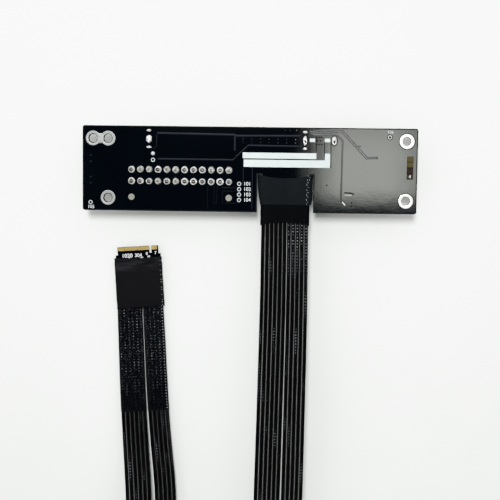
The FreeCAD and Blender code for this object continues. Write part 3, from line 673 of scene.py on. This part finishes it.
def dock_sleeve_share(along):
    """How far down the dock sleeve a place is, from 0 at its upper rim to 1 at its lower."""
    return min(1.0, max(0.0, (-1.9 - along) / 14.5))


def askew_on_tongue(a, along, u):
    """The dock sleeve shrank less on its right, so its middle drifts to the right of the tongue's middle."""
    share = dock_sleeve_share(along)
    return on_tongue(a + 0.675 * share ** 2.6 - 0.6 * share ** 12 + 0.05, along, u)


def dock_sleeve_section(share):
    return 26.3 - 1.35 * share ** 2.6 - 1.2 * share ** 12, 4.0 - 0.8 * share


def dock_sleeve_ends(a):
    sag = 2.1 * max(0.0, 1 - a * a) ** 0.8
    return -1.75 - sag + 0.18 * wave(a, 3.1, size=0.3), -16.45 + 0.12 * wave(a, 8.7, size=0.5)


def dock_sleeve_crumple(a, along, u):
    crease = -0.2 * math.exp(-((a + 0.4 + 0.05 * along) / 0.4) ** 2)
    pinched = 0.22 * max(0.0, (a - 10.2) / 2) * abs(wave(along, 5.0, size=1.1))
    return 0.1 * wave(a, along, u, 4.5) + crease - pinched - 0.05


def collar_section(share):
    return 23.3 - 0.1 * share, 2.25 - 0.05 * share


def collar_ends(a):
    return -15.4, -26.35 + 1.5 * max(0.0, 1 - a * a) ** 0.7 + 0.12 * wave(a, 1.7, size=0.16)


def collar_crumple(a, along, u):
    strip = 0.05 * math.cos(2 * math.pi * a / 1.96) * min(1.0, max(0.0, (-along - 16.5) / 6))
    return strip + 0.05 * wave(a, along, u, 3.0) - 0.06


def plug_sleeve_section(share):
    behind = 5.6 + 24.8 * share
    rise = min(1.0, max(0.0, (behind - 9.9) / 2.0))
    rise = rise * rise * (3 - 2 * rise)
    return 23.3 + 0.3 * share, 1.9 + 1.5 * rise - 0.35 * max(0.0, share - 0.85) / 0.15


def plug_sleeve_ends(a):
    return 5.75 + 0.25 * wave(a, 2.2, size=0.4) - 0.2 * a * a, 30.0 - 0.35 * a + 0.12 * wave(a, 6.0, size=0.4)


def plug_sleeve_crumple(a, behind, u):
    front = max(0.0, 1 - (behind - 5.6) / 6)
    wrinkle = 0.07 * front * math.sin(2.4 * (a + 0.8 * behind) + 2 * wave(a, behind, size=3.0))
    ruffle = 0.16 * max(0.0, (a - 9.6) / 2) * wave(behind, 2.0, size=0.9)
    return 0.07 * wave(a, behind, u, 3.5) + wrinkle + ruffle - 0.06


six_ribbon, six_path = ribbon("six_strip_ribbon", six_strips, 3.0, 0.0)
five_ribbon, five_path = ribbon("five_strip_ribbon", five_strips, 61.0, 100.0)
six_wrap = wrap("six_strip_wrap", six_strips, 2.0, 0.0)
five_wrap = wrap("five_strip_wrap", five_strips, 9.0, 20.0)
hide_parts("ribbon_six")
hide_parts("ribbon_five")
tongue_sleeve = sleeve("tongue_sleeve", askew_on_tongue, dock_sleeve_section, dock_sleeve_ends, 0.4,
                       dock_sleeve_crumple, shrink_sleeve)
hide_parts("dock_sleeve")
cable_collar = sleeve("cable_collar", on_tongue, collar_section, collar_ends, 0.2, collar_crumple,
                      thin_sleeve)
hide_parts("ribbon_collar")
plug_cover = sleeve("plug_cover", over_plug, plug_sleeve_section, plug_sleeve_ends, 0.2, plug_sleeve_crumple,
                    plug_film)
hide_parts("plug_sleeve")


# Solder, eyelets and lines on the board

def turned(blank, place, profile, segments=40, stretch=(1.0, 1.0), wobble=None, close=True, kind=0,
           lean=(0.0, 0.0)):
    """A turned form about an upright axis: its profile is radius and height, from outside in. It leans by so
    much a millimetre of height."""
    x, y, z = place
    loops = []
    for radius, height in profile:
        ring = []
        for k in range(segments):
            angle = 2 * math.pi * k / segments
            c, s = math.cos(angle), math.sin(angle)
            grow, lift = wobble(c, s, radius, height) if wobble else (1.0, 0.0)
            ring.append(at(x + lean[0] * height + stretch[0] * radius * grow * c,
                           y + lean[1] * height + stretch[1] * radius * grow * s, z + height + lift))
        loops.append(blank.loop(ring))
    blank.skin(loops, kind)
    if close:
        blank.cap(loops[-1], kind)


def solder_joint(blank, place, radius, height, seed, stretch=(1.0, 1.0), lumps=0.08, pin=None, kind=0,
                 lean=(0.0, 0.0)):
    """A low cone of solder with uneven lumps. Round a pin it ends in a ring over the pin's chamfer, painted
    nearly black as painted shade of the hollow; pin gives the radius and height of the ring's foot and of its
    rim."""
    steps = [(1.0, -0.02), (1.0, 0.08), (0.95, 0.24), (0.86, 0.5), (0.77, 0.76), (0.68, 0.94), (0.6, 1.0)]
    if not pin:
        steps += [(0.4, 1.06), (0.18, 1.08)]
    profile = [(radius * r, height * h) for r, h in steps]
    if pin:
        profile += [(pin[0][0] + 0.06, 0.85 * height), pin[0]]

    def wobble(c, s, r, h):
        share = r / radius
        grow = 1 + lumps * wave(c * 1.3, s * 1.3, seed, 0.9) * share
        lift = height * lumps * 2.2 * wave(c * share * 2, s * share * 2, seed + 5, 0.8) * (h > 0)
        return grow, lift

    turned(blank, place, profile, 36, stretch, wobble, not pin, kind, lean)
    if pin:
        turned(blank, place, pin, 36, stretch, close=False, kind=1, lean=lean)


# Header joints: in the upper row and to the left they are lumpier and lean more. Some are frosted, named here
# by row and pin
draw = random.Random(24)
pin_ring = ((1.0, 0.36), (0.9, 0.46), (0.34, 0.8))
flooded_ring = ((0.66, 0.56), (0.6, 0.62), (0.34, 0.8))
frosted_pins = ((1, 1), (1, 2), (1, 4), (1, 5), (1, 9), (1, 11), (0, 3), (0, 5))
blank = Blank()
for row, y in enumerate(pin_rows):
    for i, x in enumerate(pin_xs):
        rough = 0.5 - 0.5 * i / len(pin_xs) + 0.35 * row
        size = draw.uniform(1.52, 1.76)
        frosted = (row, i) in frosted_pins
        solder_joint(blank, (x, y, board_top), size, draw.uniform(0.55, 0.72), draw.uniform(0, 90),
                     lumps=draw.uniform(0.03, 0.07) + 0.1 * rough + 0.06 * frosted,
                     pin=flooded_ring if frosted else pin_ring, kind=2 if frosted else 0,
                     lean=(-0.3 * rough, -0.2 * rough))
header_joints = blank.piece("header_solder_joints", solder, recess_painted_shade, frosted_solder, slot="solder")
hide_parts("power_header_solder")

# Slot anchors: place, half width and half height. The two tall ones on the right leave a hollow at the leg,
# painted dark as painted shade
leg_ring = ((0.4, 0.4), (0.34, 0.42), (0.04, 0.44))
anchor_joints = (
    (-47.6, 17.9, 1.2, 0.62), (-47.6, slot_y, 1.35, 1.9), (-47.6, 10.1, 1.25, 0.66),
    (26.1, 17.9, 1.15, 0.66), (26.1, slot_y, 0.95, 1.95), (26.1, 10.1, 1.1, 0.68),
    (39.8, slot_y, 1.1, 1.85),
)
blank = Blank()
for x, y, half_x, half_y in anchor_joints:
    hollow = x > 0 and half_y > 1
    solder_joint(blank, (x, y, board_top), 1.0, 0.55, draw.uniform(0, 90), (half_x, half_y), 0.24,
                 pin=leg_ring if hollow else None, lean=(0.0, -1.6 if hollow else 0.0))
anchor_blobs = blank.piece("slot_anchor_joints", solder, recess_painted_shade, slot="solder")
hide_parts("anchor_solder")

# Mounting eyelets: a tin flange on each face, ridged on the left and flat on the right, and the barrel
# between them. The left-hand flanges take tin painted darker as painted shade, the right-hand ones the
# brighter solder finish as painted highlight, and the barrel is painted nearly black as painted shade
mount_y = 14.0
mount_places = ((-67.0, mount_y), (-67.0, -mount_y), (74.0, mount_y), (74.0, -mount_y), (-74.1, mount_y))
hole_radius = 1.95
ring_radius = 3.52
flange = ((ring_radius, -0.01), (ring_radius - 0.08, 0.045), (3.25, 0.06), (2.85, 0.062), (2.72, 0.035),
          (2.5, 0.03), (2.38, 0.05), (2.26, 0.04))
barrel = ((2.26, 0.04), (2.12, -0.02), (hole_radius, -0.16))
flat_flange = (*flange[:3], (2.3, 0.06), (2.1, 0.035))
flat_barrel = ((2.1, 0.035), (2.0, -0.05), (hole_radius, -0.16))
depth = board_top - board_under
blank = Blank()
for x, y in mount_places:
    face, wall, finish = (flange, barrel, 2) if x < 0 else (flat_flange, flat_barrel, 0)
    under_flange, under_barrel = ([(r, -depth - h) for r, h in reversed(part)] for part in (face, wall))
    turned(blank, (x, y, board_top), face, 72, close=False, kind=finish)
    turned(blank, (x, y, board_top), (*wall, *under_barrel), 72, close=False, kind=1)
    turned(blank, (x, y, board_top), under_flange, 72, close=False, kind=finish)

# Neck of tin that joins the two eyelets at the upper left, in the tin painted darker as painted shade
neck_x = (-72.0, -69.1)
for level, side in ((board_top, 1), (board_under, -1)):
    rows = []
    for x in (neck_x[0], sum(neck_x) / 2, neck_x[1]):
        row = []
        for k in range(13):
            share = 2 * k / 12 - 1
            row.append(at(x, mount_y + 2.4 * share, level + side * (0.063 * (1 - share ** 6) - 0.01)))
        rows.append(blank.loop(row))
    for near, far in zip(rows, rows[1:]):
        blank.bridge(near if side < 0 else far, far if side < 0 else near, 2, closed=False)
eyelets = blank.piece("tinned_mount_eyelets", solder, recess_painted_shade, tin_painted_shade, slot="tinned_copper")
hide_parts("mounting_eyelets")

# Test points: small tinned rings whose holes are closed and painted dark as painted shade, one of them filled
# with solder
ring_row_ys = [-6.75 - 2.54 * i for i in range(4)]
ring_places = [(-4.7, y) for y in ring_row_ys] + [(-45.65, 4.05), (-75.3, -16.3), (65.85, 15.9)]
filled_place = (-45.65, 7.1)
ring = ((1.0, -0.01), (0.97, 0.04), (0.88, 0.07), (0.72, 0.07), (0.62, 0.04))
well = ((0.62, 0.04), (0.52, -0.3), (0.2, -0.34))
blank = Blank()
for x, y in ring_places + [filled_place]:
    turned(blank, (x, y, board_top), ring, 32, close=False)
    turned(blank, (x, y, board_top), well, 32, kind=1)
    turned(blank, (x, y, board_under), [(r, -h) for r, h in reversed(ring)], 32, close=False)
    turned(blank, (x, y, board_under), [(r, -h) for r, h in reversed(well)], 32, close=False, kind=1)
solder_joint(blank, (*filled_place, board_top), 0.98, 0.4, 3.0)
test_rings = blank.piece("test_point_rings", tinned_copper, recess_painted_shade, slot="tinned_copper")
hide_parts("test_eyelets")


def ridge(blank, points, width, height, level=None, kind=0):
    """A low rounded line on the board along straight runs."""
    level = board_top if level is None else level
    spots = [Vector((x, y, 0)) for x, y in points]
    last = None
    for i, spot in enumerate(spots):
        runs = []
        if i:
            runs.append((spot - spots[i - 1]).normalized())
        if i < len(spots) - 1:
            runs.append((spots[i + 1] - spot).normalized())
        ahead = sum(runs, Vector()).normalized()
        sides = Vector((-ahead.y, ahead.x, 0)) / max(0.5, ahead.dot(runs[0]))
        row = []
        for share, rise in ((-0.5, -0.01), (-0.3, 0.75), (0.0, 1.0), (0.3, 0.75), (0.5, -0.01)):
            p = spot + sides * (share * width)
            row.append(at(p.x, p.y, level + rise * height))
        loop = blank.loop(row)
        if last:
            blank.bridge(loop, last, kind, closed=False)
        last = loop


# Copper steps under the mask: points, width and finish, 0 for a step, 1 for a faint trace, 2 for bare
# laminate and 3 for a wide track
board_lines = (
    (((-43.7, 16.7), (-7.05, 16.3), (-6.2, 15.8), (23.9, 16.1)), 0.95, 0),
    (((-7.0, 15.7), (-6.96, 8.9)), 0.85, 0),
    (((-43.4, 4.57), (-7.8, 4.5)), 0.75, 0),
    (((-7.8, 4.5), (-0.7, 11.4)), 0.5, 1),
    (((-0.7, 11.4), (24.6, 11.2)), 0.75, 0),
    (((-44.0, 16.2), (-44.0, 10.6), (-45.3, 9.2)), 0.3, 1),
    (((-2.85, 0.75), (-2.8, -4.9), (-3.1, -7.7)), 0.4, 0),
    (((1.45, 0.8), (1.4, -18.5)), 0.45, 0),
    (((-19.7, -8.1), (-19.6, -18.8)), 0.3, 1),
    (((-16.5, -8.05), (-16.7, -16.0), (-15.3, -16.0), (-15.1, -8.0)), 0.3, 1),
    (((-12.8, -8.6), (-5.2, -8.7)), 0.3, 1),
    (((-5.0, -10.1), (-12.6, -10.4), (-12.55, -16.0), (-4.7, -15.8)), 0.3, 1),
    (((28.3, 18.2), (43.6, 18.9), (55.5, 6.4), (59.3, 6.6)), 0.45, 3),
    (((28.3, 17.4), (43.2, 18.0), (54.9, 5.7), (59.3, 5.9)), 0.45, 3),
    (((49.9, 11.6), (52.4, 11.5)), 0.6, 3),
    (((29.6, 16.7), (41.0, 16.6), (43.7, 14.2), (43.5, -13.8), (44.0, -14.6)), 0.9, 3),
    (((45.0, -10.3), (48.8, -10.5)), 0.6, 2),
    (((48.6, -10.4), (49.6, -10.9), (48.7, -11.4)), 0.35, 2),
    (((28.4, 13.0), (28.5, 8.75)), 0.35, 2),
    (((31.3, 16.2), (31.4, 8.8)), 0.35, 2),
    (((35.2, 13.1), (35.4, 5.0)), 0.35, 2),
    (((38.3, 13.1), (38.4, 1.3)), 0.35, 2),
)
line_heights = (0.045, 0.004, 0.045, 0.008)
blank = Blank()
for points, width, kind in board_lines:
    ridge(blank, points, width, line_heights[kind], kind=kind)

# Bare rings round the slot's right-hand anchors, the pad that ends the wide tracks and four marks at the left
for x, y in ((26.1, 17.8), (26.1, slot_y), (26.1, 10.1), (39.8, slot_y)):
    half_y = 2.45 if y == slot_y else 1.15
    turns = [a * math.pi / 12 for a in range(25)]
    ring = [(x + 1.5 * math.cos(turn), y + half_y * math.sin(turn)) for turn in turns]
    ridge(blank, ring, 0.3, 0.04, kind=2)
ridge(blank, ((59.3, 6.25), (60.5, 6.25)), 1.3, 0.012, kind=3)
for y in (5.97, 3.05, -4.22, -7.16):
    ridge(blank, ((-75.7, y - 0.15), (-74.7, y + 0.15)), 0.55, 0.045)
blank.piece("masked_copper_steps", masked_step, faint_step, bare_laminate, wide_track, slot="solder_mask")

# Plugged holes: dark dimples, and rows that show more towards the right, where the last are bare
dark_vias = ((31.55, 15.5), (32.8, 15.5), (33.85, 15.5), (31.8, 13.9), (33.3, 13.9), (31.6, 12.1),
             (32.8, 12.2), (33.9, 12.2), (36.7, -6.9), (48.5, -15.1), (48.5, -16.6))
via_rows = [(-40.0 + 4.1 * i, y) for i in range(8, 15) for y in (14.4, 12.8)]
faint_vias = via_rows[:10]
pale_vias = via_rows[10:] + [(16.7, 18.6), (19.0, 18.6)]
bare_vias = [(21.6, 14.35), (21.6, 12.8), (22.0, 18.75)]
via_profile = ((0.36, -0.01), (0.31, 1.0), (0.22, 0.9), (0.15, 0.2))
via_heights = (0.025, 0.0006, 0.03, 0.02)
via_sizes = (1.0, 0.75, 1.0, 0.6)
blank = Blank()
for kind, places in enumerate((pale_vias, faint_vias, dark_vias, bare_vias)):
    for x, y in places:
        profile = [(r * via_sizes[kind], h * via_heights[kind]) for r, h in via_profile]
        turned(blank, (x, y, board_top), profile, 16, kind=kind)
blank.piece("plugged_holes", masked_step, faint_step, bare_laminate, tinned_brass, slot="solder_mask")

# Mask pulled back from the routed edge, from the right-hand eyelets and from one test ring
inset = 0.2
left, front = board_low.x + inset, board_low.y + inset
right, back = board_high.x - inset, board_high.y - inset
notch = (3.75 - inset, 30.45 + inset, -1.6 + inset)  # the slits' outer sides and their upper end


def corner(x, y, turn, radius=0.8):
    """Five points round a board corner; turn is the corner's direction in degrees."""
    turns = [math.radians(turn + a) for a in (45, 22.5, 0, -22.5, -45)]
    pull = radius * math.sqrt(2)
    cx = x - pull * math.cos(turns[2])
    cy = y - pull * math.sin(turns[2])
    return [(cx + radius * math.cos(a), cy + radius * math.sin(a)) for a in turns]


rim = [(notch[0], notch[2]), (notch[0], front), *corner(left, front, 225), *corner(left, back, 135),
       *corner(right, back, 45), *corner(right, front, -45), (notch[1], front), (notch[1], notch[2])]
blank = Blank()
ridge(blank, rim, 0.5, 0.02)
mount_rim = ((ring_radius + 0.34, 0.001), (ring_radius + 0.3, 0.008), (ring_radius, 0.008))
for x, y in mount_places[2:4]:
    turned(blank, (x, y, board_top), mount_rim, 72, close=False)
turned(blank, (*ring_places[-1], board_top), ((1.35, 0.001), (1.3, 0.008), (1.05, 0.008)), 32, close=False)
blank.piece("bare_board_rim", bare_laminate, slot="solder_mask")

# Windows in the mask beside the right-hand edge, on a patch of bare laminate
window_x = 75.6
window_top = board_top + 0.02
blank = Blank()
patch = ((-1.5, -3.7), (1.5, -3.7), (1.5, 7.05), (-1.5, 7.05))
blank.cap(blank.loop([at(window_x + a, y, board_top + 0.006) for a, y in patch]), 3)
for y, kind in ((5.75, 0), (3.15, 0), (0.35, 1), (-2.4, 2)):
    corners = [(a, y + b) for a, b in ((-1.4, -1.12), (1.4, -1.12), (1.4, 1.12), (-1.4, 1.12))]
    foot = blank.loop([at(window_x + a, v, board_top) for a, v in corners])
    face = blank.loop([at(window_x + a * 0.999, v, window_top) for a, v in corners])
    blank.bridge(foot, face, kind)
    blank.cap(face, kind)
blank.piece("layer_windows", window_olive, window_brown, window_dark, bare_laminate, slot="solder_mask",
            smooth=False)


# Plain numbers in place of the printed words

def printed(blank, words, place, size, turn=0.0, bold=0.0, lift=0.012):
    """Flat characters, centred on a place given in millimetres."""
    text = bpy.data.curves.new("number", "FONT")
    text.body = words
    text.size = size
    text.offset = bold * size
    text.align_x = "CENTER"
    text.align_y = "CENTER"
    text.extrude = lift / 2
    points, faces = read_curve(text)
    c, s = math.cos(turn), math.sin(turn)
    x, y, z = place
    loop = blank.loop([at(x + v.x * c - v.y * s, y + v.x * s + v.y * c, z + lift / 2 + v.z) for v in points])
    for face in faces:
        blank.cap([loop[i] for i in face])


blank = Blank()
for i, y in enumerate(ring_row_ys):
    printed(blank, str(101 + i), (-0.9, y, board_top), 2.4, bold=0.004)
printed(blank, "105", (-75.1, -18.45, board_top), 2.2, bold=0.004)
printed(blank, "106", (66.0, 18.3, board_top), 1.9)
printed(blank, "4", (window_x, -2.4, window_top), 2.2)
ridge(blank, ((44.1, -14.7), (45.4, -16.2)), 0.45, 0.03)
ridge(blank, ((45.2, -11.4), (48.4, -11.5)), 0.18, 0.03)
blank.piece("board_numbers", screen_ink, smooth=False)

blank = Blank()
plug_words = (("1020", -5.4, 4.5, 2.7), ("304", 0.1, 4.5, 2.4), ("12", -4.4, 5.75, 1.0),
              ("240", 1.6, 5.7, 1.2), ("8", 4.3, 3.9, 1.9), ("60", 5.2, 5.3, 1.4), ("7", 8.6, 3.7, 2.1))
for words, a, behind, size in plug_words:
    spot = on_plug(a, behind, 0) / MM
    printed(blank, words, (spot.x, spot.y, plug_board_top), size, math.radians(plug_turn), bold=0.015)
plug_numbers = blank.piece("plug_numbers", screen_ink, smooth=False)

# Painted glints on the pinches along the dock sleeve's right side
blank = Blank()
pinches = (((27.6, -2.7), (28.1, -2.6)), ((28.6, -3.2), (28.7, -3.6)), ((27.5, -4.3), (27.6, -4.9)),
           ((28.4, -4.2), (28.5, -4.8)), ((27.4, -5.9), (28.0, -5.8)), ((27.2, -6.5), (27.3, -7.2)),
           ((27.7, -7.9), (28.1, -8.2)), ((27.2, -9.0), (27.4, -9.6)), ((27.5, -10.4), (28.0, -10.6)),
           ((27.2, -11.3), (27.3, -12.0)), ((27.6, -12.7), (28.0, -12.6)), ((27.1, -13.6), (27.3, -14.3)),
           ((27.6, -14.9), (27.8, -15.3)), ((27.1, -15.8), (27.5, -16.1)))
for points in pinches:
    height = dock_sleeve_section(dock_sleeve_share(points[0][1]))[1]
    ridge(blank, points, 0.16, 0.14, level=tongue_level + height / 2 - 0.05)
pinch_glints = blank.piece("sleeve_pinch_glints", glint_film, slot="shrink_sleeve")

# Dashes of painted glint along the plug sleeve's right side
blank = Blank()
for behind in (7.4, 9.3, 11.0, 12.2, 14.3, 16.5, 17.7, 20.4, 21.6, 24.0, 26.4, 27.6, 29.0):
    dash = [over_plug(10.9, behind + step, 0) / MM for step in (0.0, 0.25 + 0.45 * abs(wave(behind, 4.0)))]
    rise = 1.33 if behind > 12 else 0.75
    ridge(blank, [(spot.x, spot.y) for spot in dash], 0.3, 0.2, level=plug_height + rise)
plug_glint_dashes = blank.piece("plug_sleeve_glint_dashes", glint_film, slot="shrink_sleeve")


# Small parts under the board

def shell_box(blank, x0, x1, y0, y1, z0, z1, kind=0):
    """A box with softened upright edges."""
    soft = min(x1 - x0, y1 - y0) * 0.12
    outline = [(x0 + soft, y0), (x1 - soft, y0), (x1, y0 + soft), (x1, y1 - soft), (x1 - soft, y1),
               (x0 + soft, y1), (x0, y1 - soft), (x0, y0 + soft)]
    low = blank.loop([at(x, y, z0) for x, y in outline])
    high = blank.loop([at(x, y, z1) for x, y in outline])
    blank.bridge(low, high, kind)
    blank.cap(low[::-1], kind)
    blank.cap(high, kind)


# Tinned ends of the chips, the switch's legs and the lamp's ends
chip_places = ((53.9, 11.5), (44.9, 2.0), (44.9, 5.0), (29.5, 6.6), (33.1, 6.6), (36.7, 6.6), (47.0, 14.0))
chip_size = (1.6, 0.8, 0.7)
switch_x, switch_y = 47.0, -11.0
lamp_x, lamp_y = 61.5, 6.5
skin_gap = 0.02
blank = Blank()
for x, y in chip_places:
    for side in (-1, 1):
        outer = x + side * (chip_size[0] / 2 + skin_gap)
        inner = x + side * (chip_size[0] / 2 - 0.32)
        shell_box(blank, min(outer, inner), max(outer, inner), y - chip_size[1] / 2 - skin_gap,
                  y + chip_size[1] / 2 + skin_gap, board_under - chip_size[2] - skin_gap, board_under)
for dx, dy in ((-0.95, -1), (0.0, -1), (0.95, -1), (-0.95, 1), (0.95, 1)):
    y0, y1 = sorted((switch_y + dy * 0.65, switch_y + dy * 1.35))
    shell_box(blank, switch_x + dx - 0.2, switch_x + dx + 0.2, y0, y1, board_under - 0.2, board_under)
for side in (-1, 1):
    x0, x1 = sorted((lamp_x + side * 0.75, lamp_x + side * 1.03))
    shell_box(blank, x0, x1, lamp_y - 0.645, lamp_y + 0.645, board_under - 0.45, board_under)
blank.piece("chip_end_caps", tinned_copper, slot="tinned_copper", smooth=False)

# Polarity patches on the cans' ends
can_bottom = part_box("bulk_capacitor_cans")[0].z / MM
can_y = -4.0
patch_turns = [a * math.pi / 16 for a in range(3, 14)]
blank = Blank()
for x in (52.5, 60.5):
    arc = [(x + 2.6 * math.cos(turn), can_y + 2.6 * math.sin(turn)) for turn in patch_turns]
    low = blank.loop([at(px, py, can_bottom - 0.012) for px, py in arc])
    high = blank.loop([at(px, py, can_bottom) for px, py in arc])
    blank.bridge(high, low)
    blank.cap(low[::-1])
blank.piece("can_polarity_patches", can_ink, smooth=False)


# Table, lights and camera

table = bpy.data.meshes.new("table_top")
table_reach = 6.0  # metres
table_level = -0.00005  # metres, a hair under the dock
corners = ((-1, -1), (1, -1), (1, 1), (-1, 1))
table.from_pydata([(x * table_reach, y * table_reach, table_level) for x, y in corners], [], [(0, 1, 2, 3)])
table.materials.append(table_white)
table_top = bpy.data.objects.new("table_top", table)
bpy.context.scene.collection.objects.link(table_top)

# Light of the room: strongest from low down and from the window's side, and nearly none from straight above
world = bpy.data.worlds.new("studio")
world.use_nodes = True
bpy.context.scene.world = world
sky = world.node_tree
toward = add(sky, "TexCoord").outputs["Generated"]
up = add(sky, "SeparateXYZ", {"Vector": toward}).outputs["Z"]
to_window = add(sky, "VectorMath", {0: toward, 1: (-0.7, 0.7, 0.0)}, operation="DOT_PRODUCT").outputs["Value"]
lit = product(sky, ((up, 0.1, 0.4, 0.95, 0.7), (up, 0.72, 0.9, 1.0, 0.02)), "SMOOTHSTEP")
glow = product(sky, ((to_window, -0.9, 0.9, 0.6, 1.2),), times=lit)
sky.links.new(glow.outputs["Value"], sky.nodes["Background"].inputs["Strength"])
sky.nodes["Background"].inputs["Color"].default_value = (1.0, 1.0, 1.0, 1.0)


def panel(name, place, target, size, radiance):
    """A soft rectangular light that faces a target. Its radiance, before its beam is narrowed, is against a
    white of 1. Its places and sizes are in metres."""
    light = bpy.data.lights.new(name, "AREA")
    light.shape = "RECTANGLE"
    light.size, light.size_y = size
    light.energy = radiance * math.pi * size[0] * size[1]
    lamp = bpy.data.objects.new(name, light)
    lamp.location = place
    lamp.rotation_euler = (Vector(target) - Vector(place)).to_track_quat("-Z", "Y").to_euler()
    bpy.context.scene.collection.objects.link(lamp)
    return light


# Window behind the dock. Its deep frame narrows the beam, so the table's near end gets less of it
window = panel("window_light", (-0.075, 0.345, 1.2), (-0.01, 0.05, 0.0), (0.27, 0.37), 6.15)
window.spread = math.radians(80.0)

# Softbox over the right-hand end, whose cloth is brightest in the middle and fades out to its edges
softbox = panel("ceiling_softbox", (0.109, 0.016, 0.600), (0.109, 0.016, 0.0), (0.162, 0.118), 5.2)
softbox.color = (0.98, 1.0, 0.93)
softbox.use_nodes = True
cloth = softbox.node_tree
spot = add(cloth, "SeparateXYZ", {"Vector": add(cloth, "NewGeometry").outputs["Parametric"]})
across, along = spot.outputs["X"], spot.outputs["Y"]
shine = product(cloth, ((across, 0.045, 0.44, 0.0, 1.0), (across, 0.7, 1.0, 1.0, 0.65),
                        (along, 0.03, 0.335, 0.0, 1.0), (along, 0.6, 1.0, 1.0, 0.75)), "SMOOTHSTEP")
cloth.links.new(shine.outputs["Value"], cloth.nodes["Emission"].inputs["Strength"])

# Camera, straight above the dock but for a slight tilt. Its place is in metres
camera_data = bpy.data.cameras.new("camera")
camera_data.sensor_width = 36.0
camera_data.lens = 61.83
camera = bpy.data.objects.new("camera", camera_data)
camera.location = (0.009671, -0.009010, 0.420)
camera.rotation_euler = (-0.07085, 0.02265, 0.01308)
bpy.context.scene.collection.objects.link(camera)
bpy.context.scene.camera = camera

# Tone of a bright product photo: middle tones lifted, whites held back. Pairs of light and picture tone
tone_points = ((0.02, 0.02), (0.1, 0.13), (0.2, 0.29), (0.35, 0.46), (0.5, 0.605), (0.65, 0.745),
               (0.8, 0.865), (0.9, 0.925), (1.0, 0.943), (1.2, 0.95))
brightest = 2.0
view = bpy.context.scene.view_settings
view.view_transform = "Standard"
view.use_curve_mapping = True
view.curve_mapping.white_level = (brightest, brightest, brightest)
for light_tone, picture_tone in tone_points:
    view.curve_mapping.curves[3].points.new(light_tone / brightest, picture_tone)
view.curve_mapping.update()
